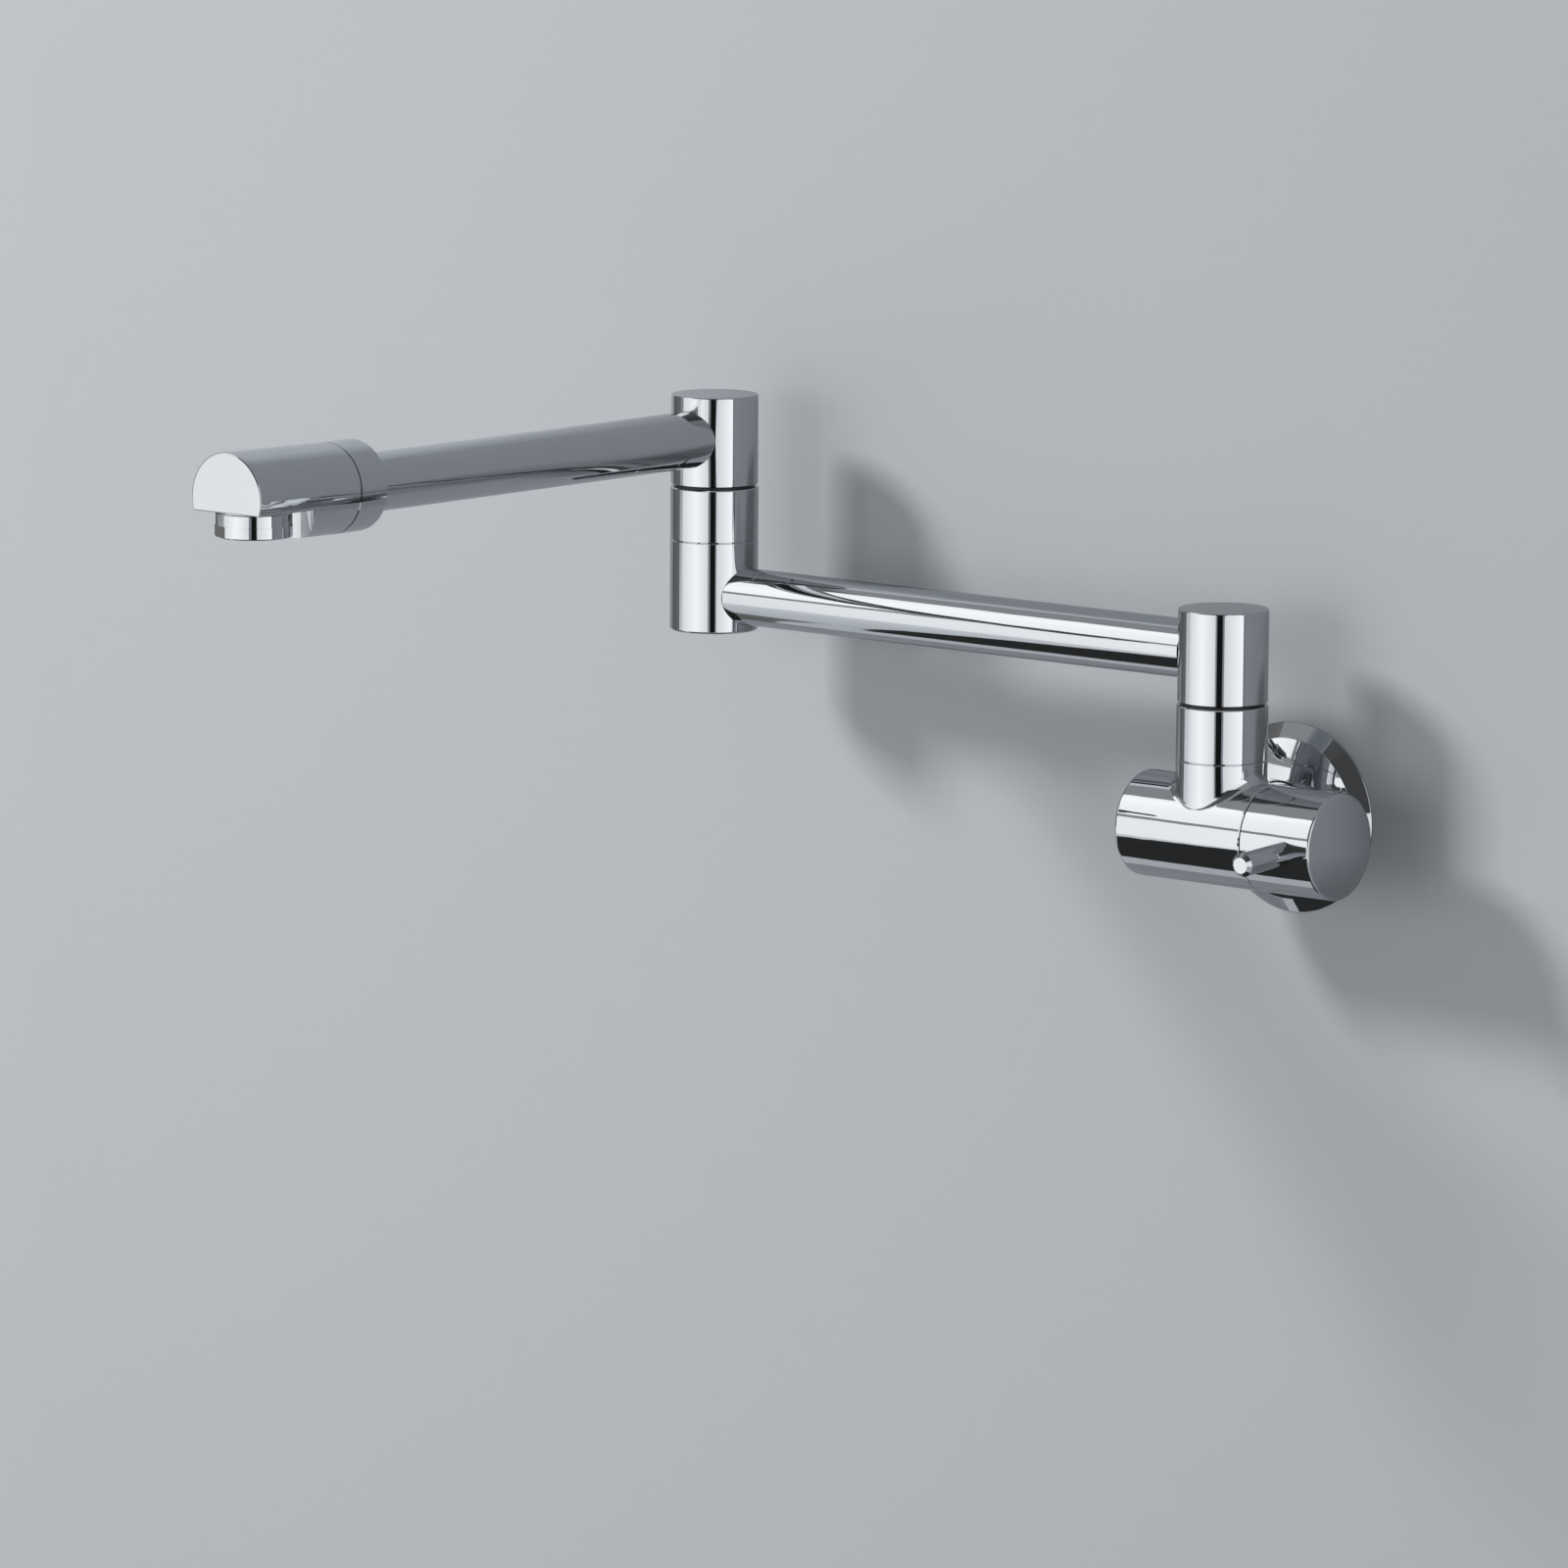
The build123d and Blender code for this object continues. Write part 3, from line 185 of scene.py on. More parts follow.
# %% make the chrome materials
# drawn and polished lengthwise: what it mirrors runs straight along the tube and wavers across it
lower_tube_chrome = chrome_plate("chrome_plated_drawn_tube_x", wave_mm=(26, 8, 8), wave_depth_mm=0.065,
                                 scratch_mm=(30, 0.35, 0.35))
upper_tube_chrome = chrome_plate("chrome_plated_drawn_tube_y", wave_mm=(8, 26, 8), wave_depth_mm=0.045,
                                 scratch_mm=(0.35, 30, 0.35))
# turned and polished on the lathe: upright bands stay nearly straight
turned_chrome = chrome_plate("chrome_plated_turned_brass", wave_mm=(16, 16, 45), wave_depth_mm=0.024,
                             scratch_mm=(6, 6, 0.3))
# cast, then polished by hand: each mirrored edge wanders a little
cast_chrome = chrome_plate("chrome_plated_cast_brass", wave_mm=(11, 11, 11), wave_depth_mm=0.060)
# pressed from smooth sheet: the cleanest mirror of all
pressed_chrome = chrome_plate("chrome_plated_pressed_brass", wave_mm=(20, 20, 20), wave_depth_mm=0.020)
print("five chrome materials")

# %% [markdown]
# ## Machined brass
# Behind the chrome the nipple, the cartridge and the two stems are turned from free-cutting brass and left
# bare. Only the nipple shows, from the wall side. The lathe leaves fine feed lines round it, and the air
# turns its bright yellow browner in patches. The lines could be cut into the mesh, but they are shallower
# than the thread by far, so a wave texture draws them as a bump along the inlet axis.

# %% machined brass
BRASS_BRIGHT = "#d9b866"
BRASS_TARNISHED = "#b8924a"
TARNISH_MM = 8
# a real feed is near 0.1 mm, and its lines are drawn coarser so that they show
FEED_LINE_MM = 1.5708
# Blender's wave texture runs through this angle in one unit of its scale
WAVE_RADIANS = 20


def machined_brass(name):
    """Free-cutting brass as it leaves the lathe: warm yellow, with feed lines along the inlet axis Y."""
    material, tree = new_material(name)
    place = add(tree, "ShaderNodeTexCoord").outputs["Object"]
    line_scale = 2 * math.pi / WAVE_RADIANS * one_per(FEED_LINE_MM)
    lines = add(tree, "ShaderNodeTexWave", {"wave_type": "BANDS", "bands_direction": "Y"}, Vector=place,
                Scale=line_scale, Distortion=0.6, Detail=1.0)
    tarnish = add(tree, "ShaderNodeTexNoise", Vector=place, Scale=one_per(TARNISH_MM), Detail=4.0,
                  Roughness=0.6)
    colour = add(tree, "ShaderNodeMix", {"data_type": "RGBA"}, Factor=tarnish.outputs["Fac"],
                 i6=hex_colour(BRASS_BRIGHT), i7=hex_colour(BRASS_TARNISHED))
    rough = add(tree, "ShaderNodeMapRange", Value=tarnish.outputs["Fac"], To_Min=0.22, To_Max=0.42)
    cut = add(tree, "ShaderNodeBump", Height=lines.outputs["Fac"], Strength=0.35, Distance=0.01 * MM)
    metal = add(tree, "ShaderNodeBsdfPrincipled", Base_Color=colour.outputs[2], Metallic=1.0,
                Roughness=rough.outputs[0], Normal=cut.outputs[0])
    add(tree, "ShaderNodeOutputMaterial", Surface=metal.outputs[0])
    return material


brass = machined_brass("machined_brass")
print(brass.name)

# %% [markdown]
# ## Rubber, foam, fibre, plastic and ceramic
# Seals, washers and gasket are moulded or pressed, the aerator's inside and the glide washers are plastic,
# and the discs in the cartridge are lapped ceramic. A few of them show from the wall side or from below. None
# is a metal: they differ in shade, in the size and depth of their grain and in how dull they are. So one
# builder with those as its values makes them all, and their numbers can be compared line by line.

# %% finishes that aren't metal
BLOTCH_MM = 12
PLASTIC_IOR = 1.5


def moulded(name, dark, light, grain_mm, depth_mm, rough_low, rough_high):
    """A surface that isn't metal: two shades in broad blotches, and a grain of a given size and depth."""
    material, tree = new_material(name)
    place = add(tree, "ShaderNodeTexCoord").outputs["Object"]
    grain = add(tree, "ShaderNodeTexNoise", Vector=place, Scale=one_per(grain_mm), Detail=5.0, Roughness=0.65)
    blotch = add(tree, "ShaderNodeTexNoise", Vector=place, Scale=one_per(BLOTCH_MM), Detail=2.0)
    colour = add(tree, "ShaderNodeMix", {"data_type": "RGBA"}, Factor=blotch.outputs["Fac"],
                 i6=hex_colour(dark), i7=hex_colour(light))
    rough = add(tree, "ShaderNodeMapRange", Value=grain.outputs["Fac"], To_Min=rough_low, To_Max=rough_high)
    bump = add(tree, "ShaderNodeBump", Height=grain.outputs["Fac"], Strength=0.6, Distance=depth_mm * MM)
    body = add(tree, "ShaderNodeBsdfPrincipled", Base_Color=colour.outputs[2], Roughness=rough.outputs[0],
               Normal=bump.outputs[0], IOR=PLASTIC_IOR)
    add(tree, "ShaderNodeOutputMaterial", Surface=body.outputs[0])
    return material


# nitrile rubber from a mould: nearly black, with a dull bloom
rubber = moulded("moulded_nitrile_rubber", "#161616", "#2a2a2b", grain_mm=0.8, depth_mm=0.01,
                 rough_low=0.5, rough_high=0.7)
# foam with closed cells: dark grey and grainy, without a highlight
foam = moulded("closed_cell_foam", "#2f3032", "#4a4b4d", grain_mm=0.9, depth_mm=0.12,
               rough_low=0.85, rough_high=1.0)
# pressed fibre: brick red and dry
fibre = moulded("pressed_fibre", "#8c3f2f", "#a85a45", grain_mm=0.5, depth_mm=0.03,
                rough_low=0.7, rough_high=0.9)
# acetal from a mould: milky white with a waxy sheen
acetal = moulded("moulded_acetal", "#d9dcdc", "#eceeee", grain_mm=0.4, depth_mm=0.004,
                 rough_low=0.3, rough_high=0.45)
# the same plastic, dyed nearly black
dark_acetal = moulded("moulded_dark_acetal", "#121213", "#1d1d1f", grain_mm=0.4, depth_mm=0.004,
                      rough_low=0.35, rough_high=0.5)
# lapped alumina: warm white and almost polished
ceramic = moulded("lapped_alumina", "#e6e2d8", "#f2efe8", grain_mm=0.3, depth_mm=0.001,
                  rough_low=0.12, rough_high=0.2)
print("six finishes that aren't metal")

# %% [markdown]
# ## Stainless steel
# Strainer, screen, clips and handle screw are stainless wire, strip and bar. The steel keeps the fine lines
# of the rolls, which make it duller than the chrome and stretch its highlights. Noise that is stretched along
# one axis draws such lines, and it needs no marks on the mesh.

# %% stainless steel
STEEL = "#b9bab8"
ROLL_LINE_MM = (3, 0.15, 0.15)


def stainless(name):
    """Plain stainless strip and wire: grey, with fine rolling lines along X."""
    material, tree = new_material(name)
    place = add(tree, "ShaderNodeTexCoord").outputs["Object"]
    lines_scale = [one_per(size) for size in ROLL_LINE_MM]
    lines_place = add(tree, "ShaderNodeMapping", Vector=place, Scale=lines_scale)
    lines = add(tree, "ShaderNodeTexNoise", Vector=lines_place.outputs[0], Scale=1.0, Detail=3.0)
    rough = add(tree, "ShaderNodeMapRange", Value=lines.outputs["Fac"], To_Min=0.18, To_Max=0.4)
    bump = add(tree, "ShaderNodeBump", Height=lines.outputs["Fac"], Strength=0.3, Distance=0.004 * MM)
    metal = add(tree, "ShaderNodeBsdfPrincipled", Base_Color=hex_colour(STEEL), Metallic=1.0,
                Roughness=rough.outputs[0], Normal=bump.outputs[0])
    add(tree, "ShaderNodeOutputMaterial", Surface=metal.outputs[0])
    return material


steel = stainless("rolled_stainless_steel")
print(steel.name)

# %% [markdown]
# ## Dress every piece
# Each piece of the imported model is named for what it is, so one table gives every node its finish. The meshes
# stay as they were packed; only their material slots are filled.

# %% give the finishes to the nodes
FINISH = {
    lower_tube_chrome: ["lower_arm_tube"],
    upper_tube_chrome: ["upper_arm_tube"],
    turned_chrome: ["lower_collar", "wall_knuckle", "elbow_knuckle", "upper_collar", "upper_knuckle",
                    "spout_collar", "handle_lever", "aerator_housing"],
    cast_chrome: ["valve_body", "handle_barrel", "spout_head"],
    pressed_chrome: ["wall_flange"],
    brass: ["inlet_nipple", "cartridge_body", "cartridge_spindle", "lower_stem", "upper_stem"],
    rubber: ["flange_grip_ring", "cartridge_seat_seal", "cartridge_o_ring", "spindle_o_rings",
             "lower_stem_o_rings", "upper_stem_o_rings", "spout_o_ring", "aerator_washer"],
    foam: ["wall_gasket"],
    fibre: ["nipple_washer"],
    ceramic: ["fixed_disc", "moving_disc"],
    acetal: ["spindle_washer", "aerator_insert", "aerator_diffuser"],
    dark_acetal: ["lower_glide_washer", "upper_glide_washer"],
    steel: ["inlet_strainer", "spindle_clip", "lower_stem_clip", "upper_stem_clip", "handle_screw",
            "aerator_screen"],
}
for finish, names in FINISH.items():
    for name in names:
        nodes[name].data.materials.clear()
        nodes[name].data.materials.append(finish)
left_bare = set(nodes) - {name for names in FINISH.values() for name in names}
print("nodes without a finish:", sorted(left_bare))

# %% [markdown]
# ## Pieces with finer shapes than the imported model
# Two pieces get a finer skin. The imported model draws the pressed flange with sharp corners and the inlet
# thread as a plain cylinder; a press leaves rounded bends, and a thread has its turns. Blender's bevel and
# screw modifiers could draw them too. Both pieces are round about the inlet axis, so one function is shorter
# and puts every ring where it belongs: it takes a list of rings, each with its radius and its place along the
# axis, and joins each ring to the next and the last one back to the first. The place counts from the wall,
# into the wall.

# %% skin a piece that is round about the inlet axis
def skin_rings(name, rings, steps, finish):
    """A closed skin through rings; ring(angle) gives radius and place on the inlet axis, in millimetres. The
    rings run towards +Y on the outer side, or the faces would look inwards."""
    mesh = bpy.data.meshes.new(name)
    points = []
    for ring in rings:
        for step in range(steps):
            angle = step * 2 * math.pi / steps
            radius, place = ring(angle)
            points.append(mm(radius * math.cos(angle), place, radius * math.sin(angle)))
    faces = []
    for row in range(len(rings)):
        next_row = (row + 1) % len(rings)
        for step in range(steps):
            beside = (step + 1) % steps
            faces.append((row * steps + step, next_row * steps + step,
                          next_row * steps + beside, row * steps + beside))
    mesh.from_pydata(points, [], faces)
    mesh.shade_smooth()
    mesh.materials.append(finish)
    piece = bpy.data.objects.new(name, mesh)
    bpy.context.scene.collection.objects.link(piece)
    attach(piece, "valve")
    return piece


def plain_ring(radius, place):
    """A ring with the same radius all round."""
    return lambda angle: (radius, place)


print("skin function ready")

# %% [markdown]
# ### Rounded bends
# The outline of a pressing is a row of corners, each with its bend radius. A corner becomes an arc between
# the two straight runs. A point is also set just before and just after each arc, so that the smooth shading
# stays in the bend and the flats stay flat; in a mirror finish even half a degree shows.

# %% outline with rounded corners
BEND_STEPS = 8
FLAT_GUARD = 0.03


def rounded_outline(corners):
    """Points of a closed outline; a corner is (radius from the axis, place, bend radius)."""
    points = []
    for number, (radius, place, bend) in enumerate(corners):
        here = Vector((radius, place))
        if bend == 0:
            points.append(here)
            continue
        to_last = (Vector(corners[number - 1][:2]) - here).normalized()
        to_next = (Vector(corners[(number + 1) % len(corners)][:2]) - here).normalized()
        half = to_last.angle(to_next) / 2
        run = bend / math.tan(half)
        middle = here + (to_last + to_next).normalized() * bend / math.sin(half)
        start = here + to_last * run
        end = here + to_next * run
        points.append(start + to_last * FLAT_GUARD)
        for step in range(BEND_STEPS + 1):
            spoke = (start - middle).slerp(end - middle, step / BEND_STEPS)
            points.append(middle + spoke * bend)
        points.append(end + to_next * FLAT_GUARD)
    return points


print("a bend has", BEND_STEPS, "steps")

# %% [markdown]
# ### Wall flange
# The cover plate is pressed from 1 mm brass: a short rim on the wall, a bevel, and a face that domes up to
# the hole for the boss. The bend between bevel and face has about the radius of the sheet's thickness; the
# edges of the rim and the hole are only broken. The dome is a part of a ball, drawn as short straight runs.

# %% pressed flange
FLANGE_OUTER = 32.7
FLANGE_FACE = 27.65
FLANGE_RIM = 0.5
FLANGE_DEPTH = 4.5
FLANGE_CROWN = 4.7
FLANGE_HOLE = 13.2
SHEET = 1.0
BEVEL_BEND = 0.9
RIM_BEND = 0.3
RIM_EDGE = 0.1
HOLE_EDGE = 0.25
HOLE_BACK_EDGE = 0.15
DOME_STEPS = 14
FLANGE_STEPS = 192


def dome_run(face, depth):
    """Corners of the domed face, from its edge to the hole; the bends are left sharp."""
    ball = (face ** 2 + FLANGE_CROWN ** 2) / (2 * FLANGE_CROWN)
    run = []
    for step in range(DOME_STEPS + 1):
        radius = face + (FLANGE_HOLE - face) * step / DOME_STEPS
        run.append((radius, -(depth + FLANGE_CROWN - ball + math.sqrt(ball ** 2 - radius ** 2)), 0))
    return run


outer_dome = dome_run(FLANGE_FACE, FLANGE_DEPTH)
inner_dome = dome_run(FLANGE_FACE - SHEET / 2, FLANGE_DEPTH - SHEET)
outer_dome[0] = (*outer_dome[0][:2], BEVEL_BEND)
outer_dome[-1] = (*outer_dome[-1][:2], HOLE_EDGE)
inner_dome[-1] = (*inner_dome[-1][:2], HOLE_BACK_EDGE)
flange_corners = [(FLANGE_OUTER - SHEET, 0, RIM_EDGE), (FLANGE_OUTER, 0, RIM_EDGE)]
flange_corners += [(FLANGE_OUTER, -FLANGE_RIM, RIM_BEND)]
flange_corners += outer_dome + inner_dome[::-1]
flange_corners += [(FLANGE_OUTER - SHEET, -FLANGE_RIM / 2, RIM_EDGE)]
flange_outline = reversed(rounded_outline(flange_corners))
flange_rings = [plain_ring(radius, place) for radius, place in flange_outline]
flange_skin = skin_rings("pressed_wall_flange", flange_rings, FLANGE_STEPS, pressed_chrome)
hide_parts("wall_flange")
print("flange skin has", len(flange_skin.data.vertices), "points")

# %% [markdown]
# ### Inlet nipple
# A half inch parallel pipe thread has 14 turns to the inch, so one turn is 1.814 mm and its depth is
# 1.162 mm. It is right-handed, and its crests and roots are rounded. One length is screwed into the boss and
# the other stands out behind the wall, with a plain relief between them where the two threads end, and a
# hexagon socket for the key in its outer end. Each ring of the thread stays in its plane and changes its
# radius on the way round, so the helix comes out of flat rings and the skin stays closed.

# %% threaded nipple
THREAD_OUTER = 20.955 / 2
THREAD_DEPTH = 1.162
TURN = 25.4 / 14
RINGS_PER_TURN = 14
NIPPLE_IN = -12.0
NIPPLE_OUT = 16.0
RELIEF_IN = -2.0
RELIEF_OUT = -0.5
RELIEF_RADIUS = THREAD_OUTER - 0.8
END_CHAMFER = 1.0
KEY_FLATS = 12.0
KEY_DEPTH = 8.0
BORE = 6.5
STRAINER_SEAT = 8.02
STRAINER_DEPTH = 0.8
NIPPLE_STEPS = 96
SHARP_DEGREES = 38


def thread_ring(place):
    """A ring of the thread: its radius follows the helix, within the relief and the outer end's chamfer."""
    def ring(angle):
        # the angle runs from +X to +Z, so the plus sign makes the helix a right-handed one
        turn_share = (place / TURN + angle / (2 * math.pi)) % 1.0
        rise = 0.5 - 0.5 * math.cos(2 * math.pi * turn_share)
        # steeper flanks than a plain wave has, and broader crests and roots
        rise = rise * rise * (3 - 2 * rise)
        radius = THREAD_OUTER - THREAD_DEPTH * (1 - rise)
        limit = THREAD_OUTER - END_CHAMFER + (NIPPLE_OUT - place)
        if RELIEF_IN < place < RELIEF_OUT:
            limit = RELIEF_RADIUS
        return min(radius, limit), place
    return ring


def key_ring(place):
    """A ring of the hexagon socket."""
    def ring(angle):
        in_flat = (angle + math.pi / 6) % (math.pi / 3) - math.pi / 6
        return KEY_FLATS / 2 / math.cos(in_flat), place
    return ring


ring_count = round((NIPPLE_OUT - NIPPLE_IN) / TURN * RINGS_PER_TURN)
nipple_rings = [plain_ring(STRAINER_SEAT, NIPPLE_IN)]
for count in range(ring_count + 1):
    nipple_rings.append(thread_ring(NIPPLE_IN + (NIPPLE_OUT - NIPPLE_IN) * count / ring_count))
socket_floor = NIPPLE_OUT - KEY_DEPTH
nipple_rings += [key_ring(NIPPLE_OUT), key_ring(socket_floor), plain_ring(BORE, socket_floor)]
seat_floor = NIPPLE_IN + STRAINER_DEPTH
nipple_rings += [plain_ring(BORE, seat_floor), plain_ring(STRAINER_SEAT, seat_floor)]
nipple_skin = skin_rings("threaded_inlet_nipple", nipple_rings, NIPPLE_STEPS, brass)
nipple_skin.data.set_sharp_from_angle(angle=math.radians(SHARP_DEGREES))
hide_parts("inlet_nipple")
print("nipple skin has", len(nipple_skin.data.vertices), "points")

# %% [markdown]
# ## The stage
# A plain pale wall stands where the tap is fixed, and a plain pale worktop lies 45 cm below it, as over a
# real cooker. Both are painted, dull surfaces. They only show their front: seen from behind, the wall is
# clear, so that the back of the tap can be looked at too.
#
# The metal sees other shades of them than the eye does, and these are painted reflections. Its wall is a
# painted shade darker, as if the tap showed a deeper room; that lifts the chrome off the pale wall. Past the
# elbow a painted pool of light makes it lighter again: the upper arm and the spout show that part along their
# tops as a painted highlight, and it makes them look round. Its worktop is painted a shade lighter. A mirror
# would show the plain wall and worktop as they are, and then the tap would hardly stand out.

# %% painted wall and worktop
# a painted pool of light in the wall as the metal sees it: it grows light from the elbow on, and upwards round
# the height of the upper arm's axis
LIGHT_FROM_X = -0.22
LIGHT_FULL_X = -0.34
LIGHT_FROM_Z = 0.09
LIGHT_FULL_Z = 0.13
# the paint's dullness drifts a little, about once in two thirds of a metre
DRIFTS_PER_METRE = 1.5


def painted(name, colour, painted_reflection, painted_lit_reflection):
    """Dull paint that is clear from behind. The metal sees it in a painted reflection colour instead, and in a
    lighter painted one, a painted pool of light, where the light part is."""
    material, tree = new_material(name)
    place = add(tree, "ShaderNodeTexCoord").outputs["Object"]
    drift = add(tree, "ShaderNodeTexNoise", Vector=place, Scale=DRIFTS_PER_METRE, Detail=2.0)
    rough = add(tree, "ShaderNodeMapRange", Value=drift.outputs["Fac"], To_Min=0.8, To_Max=0.95)
    along = add(tree, "ShaderNodeSeparateXYZ", Vector=place)
    # the painted pool of light lies past the elbow and above the upper arm, in the wall as the metal sees it
    past_elbow = add(tree, "ShaderNodeMapRange", Value=along.outputs["X"], From_Min=LIGHT_FROM_X,
                     From_Max=LIGHT_FULL_X)
    above_arm = add(tree, "ShaderNodeMapRange", Value=along.outputs["Z"], From_Min=LIGHT_FROM_Z,
                    From_Max=LIGHT_FULL_Z)
    painted_light_part = add(tree, "ShaderNodeMath", {"operation": "MULTIPLY"}, i0=past_elbow.outputs[0],
                     i1=above_arm.outputs[0])
    shade = add(tree, "ShaderNodeMix", {"data_type": "RGBA"}, Factor=painted_light_part.outputs[0],
                i6=hex_colour(painted_reflection), i7=hex_colour(painted_lit_reflection))
    # the metal sees the painted reflection colours, the eye sees the paint
    in_metal = add(tree, "ShaderNodeLightPath").outputs["Is Glossy Ray"]
    tone = add(tree, "ShaderNodeMix", {"data_type": "RGBA"}, Factor=in_metal, i6=hex_colour(colour),
               i7=shade.outputs[2])
    paint = add(tree, "ShaderNodeBsdfPrincipled", Base_Color=tone.outputs[2], Roughness=rough.outputs[0])
    clear = add(tree, "ShaderNodeBsdfTransparent")
    behind = add(tree, "ShaderNodeNewGeometry").outputs["Backfacing"]
    mixed = add(tree, "ShaderNodeMixShader", Fac=behind, i1=paint.outputs[0], i2=clear.outputs[0])
    add(tree, "ShaderNodeOutputMaterial", Surface=mixed.outputs[0])
    return material


# the wall's painted reflection is darker than its paint, with a painted pool of light past the elbow; the
# worktop's painted reflection is lighter than its paint
wall_paint = painted("wall_paint_pale_grey", "#afb2b5", "#8b8f93", "#adb1b5")
top_paint = painted("worktop_pale", "#adafb1", "#c4c7c9", "#c4c7c9")
print("two paints")

# %% wall and worktop
WORKTOP_Z = -0.45
WALL_TOP = 2.5
WALL_REACH = 3
WORKTOP_REACH = 6


def sheet_of(name, corners, material):
    """A flat four-cornered stage sheet; its front is the side from which the corners run anticlockwise."""
    mesh = bpy.data.meshes.new(name)
    mesh.from_pydata(corners, [], [(0, 1, 2, 3)])
    mesh.materials.append(material)
    sheet = bpy.data.objects.new(name, mesh)
    bpy.context.scene.collection.objects.link(sheet)
    return sheet


wall_foot = [(-WALL_REACH, 0, WORKTOP_Z), (WALL_REACH, 0, WORKTOP_Z)]
wall_head = [(WALL_REACH, 0, WALL_TOP), (-WALL_REACH, 0, WALL_TOP)]
sheet_of("stage_wall", wall_foot + wall_head, wall_paint)
worktop_front = [(-WORKTOP_REACH, -WORKTOP_REACH, WORKTOP_Z), (WORKTOP_REACH, -WORKTOP_REACH, WORKTOP_Z)]
worktop_back = [(WORKTOP_REACH, WORKTOP_REACH, WORKTOP_Z), (-WORKTOP_REACH, WORKTOP_REACH, WORKTOP_Z)]
sheet_of("stage_floor", worktop_front + worktop_back, top_paint)
print("wall and worktop in place")

# %% [markdown]
# ## Light
# Chrome is lit in two steps. The first one lights the room: a key lamp high up on the left throws the soft
# shadows of the arms on the wall, to the right of them and below, and a broad, weak fill lamp opens the
# shadows. A lamp would stand in the chrome as a hard white patch, so both lamps hide from the metal, and from
# the camera too, so that they never stand in the way of another view.

# %% lamps
# a point near the tap's middle, which the lamps face and round which the cloths hang
TARGET = Vector((-0.1, -0.1, 0.06))


def outward(azimuth, elevation):
    """Unit vector away from the tap; azimuth is counted from +X, anticlockwise from above."""
    turn = math.radians(azimuth)
    rise = math.radians(elevation)
    return Vector((math.cos(turn) * math.cos(rise), math.sin(turn) * math.cos(rise), math.sin(rise)))


def lamp_box(name, azimuth, elevation, distance, width, height, brightness):
    """A rectangular lamp that faces the tap and lights the room, but isn't seen in the metal."""
    away = outward(azimuth, elevation)
    lamp = bpy.data.lights.new(name, "AREA")
    lamp.shape = "RECTANGLE"
    lamp.size = width
    lamp.size_y = height
    lamp.energy = brightness * width * height * math.pi
    box = bpy.data.objects.new(name, lamp)
    box.location = TARGET + away * distance
    box.rotation_mode = "QUATERNION"
    box.rotation_quaternion = away.to_track_quat("Z", "Y")
    box.visible_camera = False
    box.visible_glossy = False
    bpy.context.scene.collection.objects.link(box)


lamp_box("lamp_key", azimuth=221, elevation=34, distance=4.5, width=0.82, height=0.82, brightness=82.0)
lamp_box("lamp_fill", azimuth=257, elevation=3, distance=2.0, width=1.2, height=1.0, brightness=2.6)
print("a key lamp and a fill lamp")

# %% [markdown]
# ### What the metal mirrors
# The second step is for the metal alone. White cloths hang where a bright band is wanted, and dark cards
# where a dark one is wanted. Each upright shows two broad white bands with a black line between them: a white
# cloth on the left of the camera, a second one on the right, and the dark gap in which the camera stands. Two
# dark cards lie above the worktop, and the lower arm and the valve mirror them as the black bands along their
# undersides.
#
# The cloths could be lit by lamps of their own. Here they glow by themselves, so that each one has its
# brightness written down. They show in the metal only: the camera doesn't see them, and they neither light
# the wall nor throw shadows on it.

# %% a sheet that the metal mirrors
CLOTH_WHITE = "#fdfeff"
CLOTH_UV = [(0, 0), (1, 0), (1, 1), (0, 1)]


def hang(name, corners, bright):
    """A sheet that glows and only shows in the metal. bright is its light at the left end, in the middle and
    at the right end, where 1.0 is paper white."""
    material, tree = new_material(name + "_cloth")
    place = add(tree, "ShaderNodeTexCoord").outputs["UV"]
    across = add(tree, "ShaderNodeSeparateXYZ", Vector=place).outputs["X"]
    left = add(tree, "ShaderNodeMapRange", Value=across, From_Max=0.5, To_Min=bright[0], To_Max=bright[1])
    whole = add(tree, "ShaderNodeMapRange", Value=across, From_Min=0.5, To_Min=left.outputs[0],
                To_Max=bright[2])
    glow = add(tree, "ShaderNodeEmission", Color=hex_colour(CLOTH_WHITE), Strength=whole.outputs[0])
    add(tree, "ShaderNodeOutputMaterial", Surface=glow.outputs[0])
    cloth = sheet_of(name, corners, material)
    layer = cloth.data.uv_layers.new(name="across")
    for loop, corner in zip(layer.data, CLOTH_UV):
        loop.uv = corner
    cloth.visible_camera = False
    cloth.visible_diffuse = False
    cloth.visible_shadow = False


def hang_round(name, azimuths, elevations, distance, bright):
    """A sheet between two azimuths and two elevations, as seen from the tap."""
    left, right = azimuths
    low, high = elevations
    turns = [(left, low), (right, low), (right, high), (left, high)]
    hang(name, [TARGET + outward(*turn) * distance for turn in turns], bright)


print("a cloth's white is", CLOTH_WHITE)

# %% hang the cloths
CLOTH_DISTANCE = 1.7

hang_round("cloth_left_low", azimuths=(214, 291), elevations=(-26, 9), distance=CLOTH_DISTANCE,
           bright=(1.03, 1.45, 1.05))
hang_round("cloth_left_high", azimuths=(201, 242), elevations=(15, 46), distance=CLOTH_DISTANCE,
           bright=(1.35, 1.5, 1.2))
hang_round("cloth_right", azimuths=(314, 361), elevations=(-26, 30), distance=CLOTH_DISTANCE,
           bright=(1.0, 1.25, 1.5))
print("three white cloths")

# %% hang the cards
GAP_BLACK = (0.01, 0.01, 0.01)
CARD_BLACK = (0.03, 0.03, 0.03)
END_X = -0.6
END_FRONT = -0.25
END_TOP = 0.6
LYING_Z = -0.40
LYING_RIGHT = 0.2
DARK_CARD_FRONT = -1.2
DARK_CARD_FRONT_LEFT = -0.74
DARK_CARD_BACK_LEFT = -0.52
UNDER_FRONT = -0.142
UNDER_LEFT = -0.22

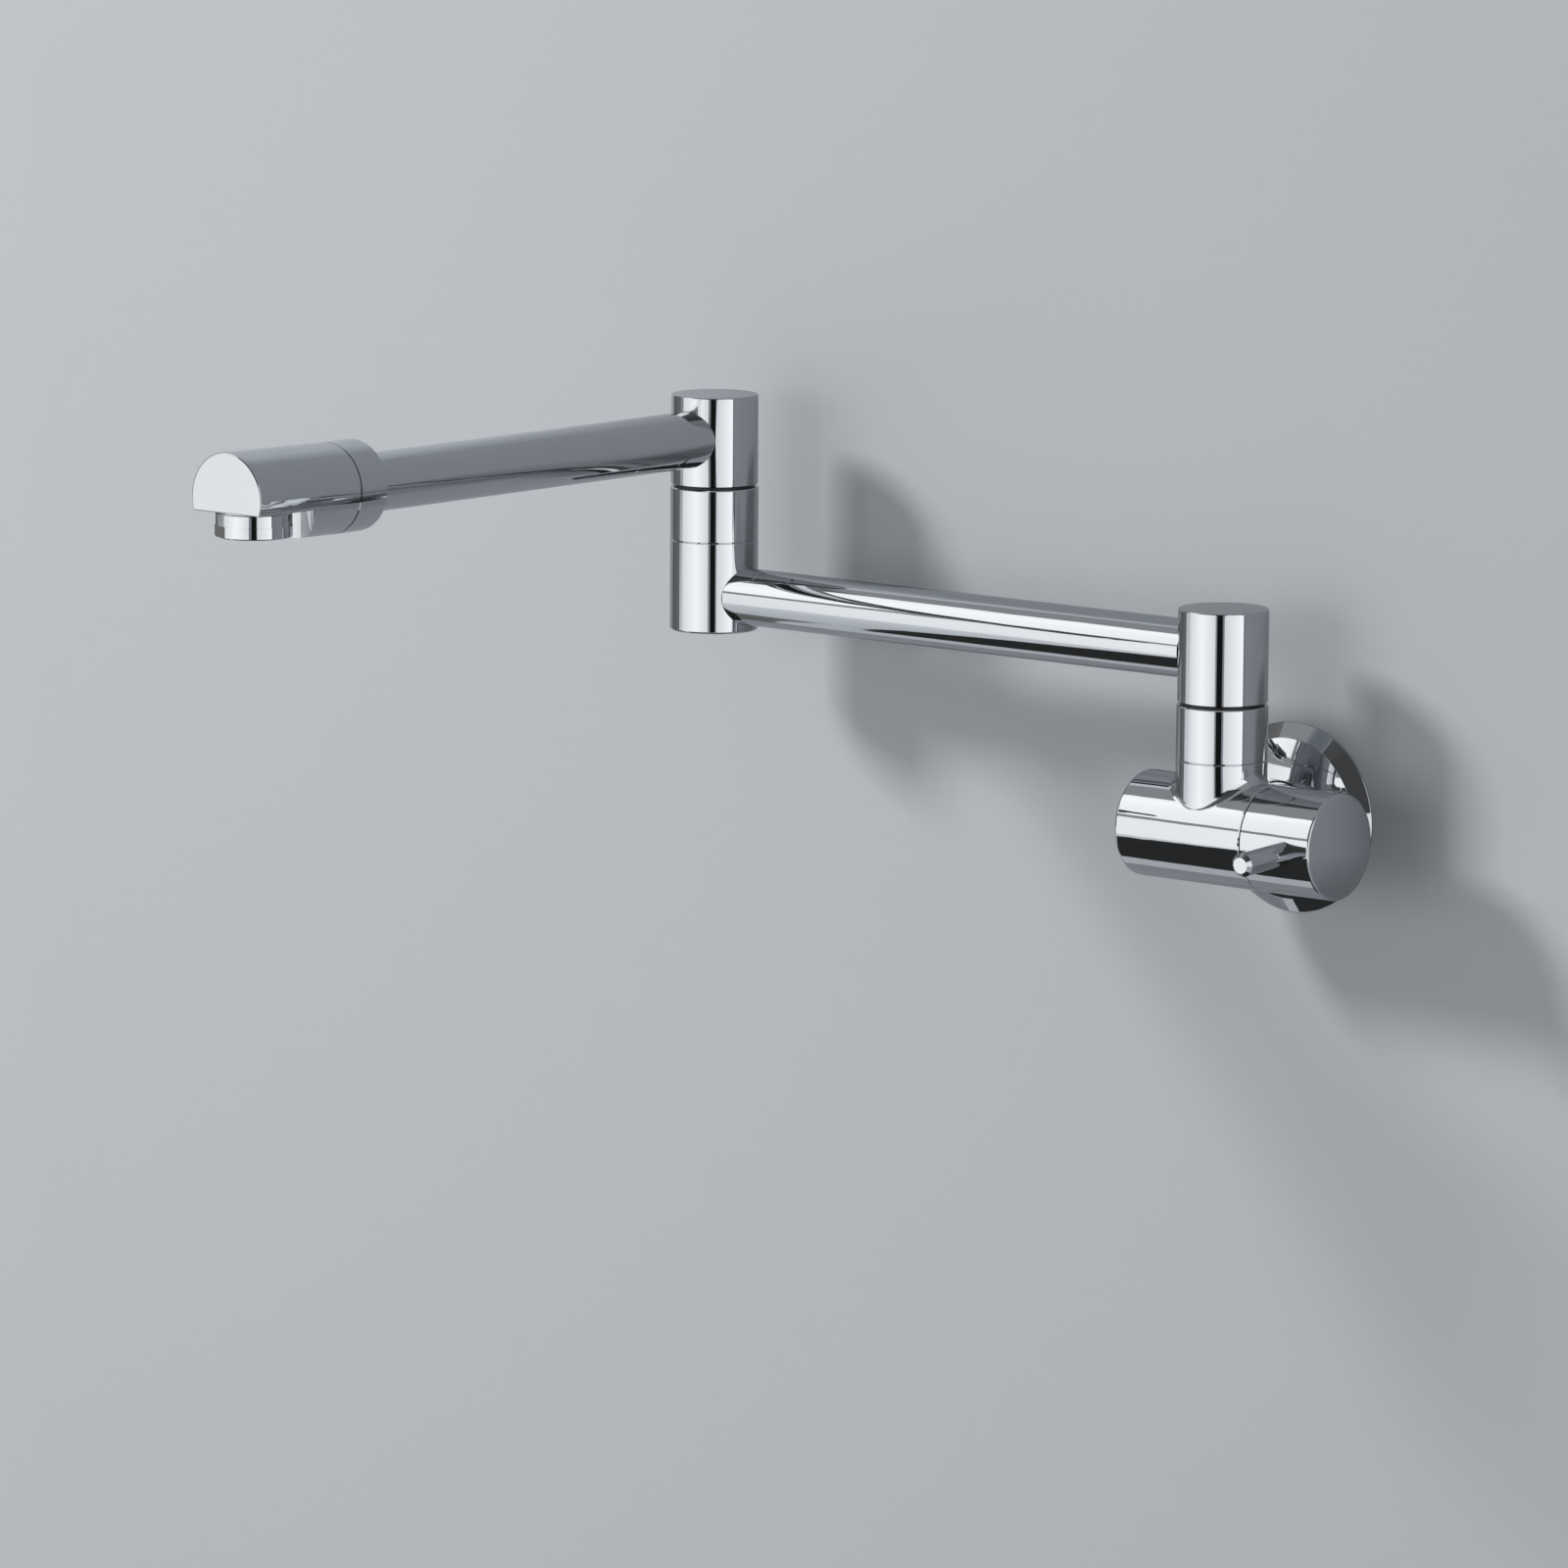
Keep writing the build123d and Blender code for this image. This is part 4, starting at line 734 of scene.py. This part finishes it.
# three cards hang nearer than the cloths: one fills the gap between them, and two are high up
hang_round("card_camera_gap", azimuths=(296, 310.5), elevations=(-24, 4), distance=1.3, bright=GAP_BLACK)
hang_round("card_high_left", azimuths=(238, 296), elevations=(14, 62), distance=1.4,
           bright=(0.26, 0.12, 0.08))
hang_round("card_high_right", azimuths=(290, 320), elevations=(-1, 62), distance=1.45,
           bright=(0.08, 0.07, 0.07))
# a card that stands out from the wall, far on the left
end_outline = [(0, WORKTOP_Z), (END_FRONT, WORKTOP_Z), (END_FRONT, END_TOP), (0, END_TOP)]
hang("card_left_end", [(END_X, y, z) for y, z in end_outline], bright=(0.12, 0.16, 0.2))
# two dark cards that lie over the worktop, one in front of the tap and one under it: only the metal sees
# them, as the painted dark reflection bands along the undersides of the lower arm and the valve
dark_card_front = [(DARK_CARD_FRONT_LEFT, DARK_CARD_FRONT, LYING_Z), (LYING_RIGHT, DARK_CARD_FRONT, LYING_Z)]
dark_card_back = [(LYING_RIGHT, UNDER_FRONT, LYING_Z), (DARK_CARD_BACK_LEFT, UNDER_FRONT, LYING_Z)]
hang("card_dark_reflection_front", dark_card_front + dark_card_back, bright=CARD_BLACK)
under_front = [(UNDER_LEFT, UNDER_FRONT, LYING_Z), (LYING_RIGHT, UNDER_FRONT, LYING_Z)]
under_back = [(LYING_RIGHT, 0, LYING_Z), (UNDER_LEFT, 0, LYING_Z)]
hang("card_under_tap", under_front + under_back, bright=CARD_BLACK)
print("six dark cards")

# %% [markdown]
# ### Air
# Wherever no sheet, wall or worktop is, the metal mirrors an even grey. It also lights the wall a little from
# all sides, so that no shadow is empty.

# %% world
AIR_GREY = "#9c9ea1"
world = bpy.data.worlds.new("studio_air")
bpy.context.scene.world = world
world.use_nodes = True
world.node_tree.nodes.clear()
air = add(world.node_tree, "ShaderNodeBackground", Color=hex_colour(AIR_GREY), Strength=1.0)
add(world.node_tree, "ShaderNodeOutputWorld", Surface=air.outputs[0])
print("even grey light all round")

# %% [markdown]
# ## Camera
# The photograph was taken from the right, a little above the tap, with a long lens. Its place and turn were
# solved from the straight edges of the arms and the round ends of the columns. The turn is written as three
# angles, because a matrix of nine numbers would tell a reader nothing.

# %% camera at the photograph's angle
CAMERA_MM = (1754.55, -2397.93, 478.16)
CAMERA_TURN = (39.55, -8.966, 0.358)
LENS_MM = 202.5
SENSOR_MM = 36


def aim(yaw, pitch, roll):
    """The camera's axes as a matrix, from its turn in degrees."""
    yaw, pitch, roll = (math.radians(angle) for angle in (yaw, pitch, roll))
    forward = Vector((-math.sin(yaw) * math.cos(pitch), math.cos(yaw) * math.cos(pitch), math.sin(pitch)))
    level = Vector((math.cos(yaw), math.sin(yaw), 0))
    upright = level.cross(forward)
    across = level * math.cos(roll) + upright * math.sin(roll)
    above = upright * math.cos(roll) - level * math.sin(roll)
    return Matrix((across, above, -forward)).transposed()


lens = bpy.data.cameras.new("photo_camera")
lens.sensor_width = SENSOR_MM
lens.lens = LENS_MM
lens.clip_start = 0.05
lens.clip_end = 60
camera = bpy.data.objects.new("photo_camera", lens)
camera.matrix_world = Matrix.Translation(mm(*CAMERA_MM)) @ aim(*CAMERA_TURN).to_4x4()
bpy.context.scene.collection.objects.link(camera)
bpy.context.scene.camera = camera
bpy.context.scene.view_settings.view_transform = "Standard"
print("camera is", round(camera.location.length, 2), "m from the inlet")
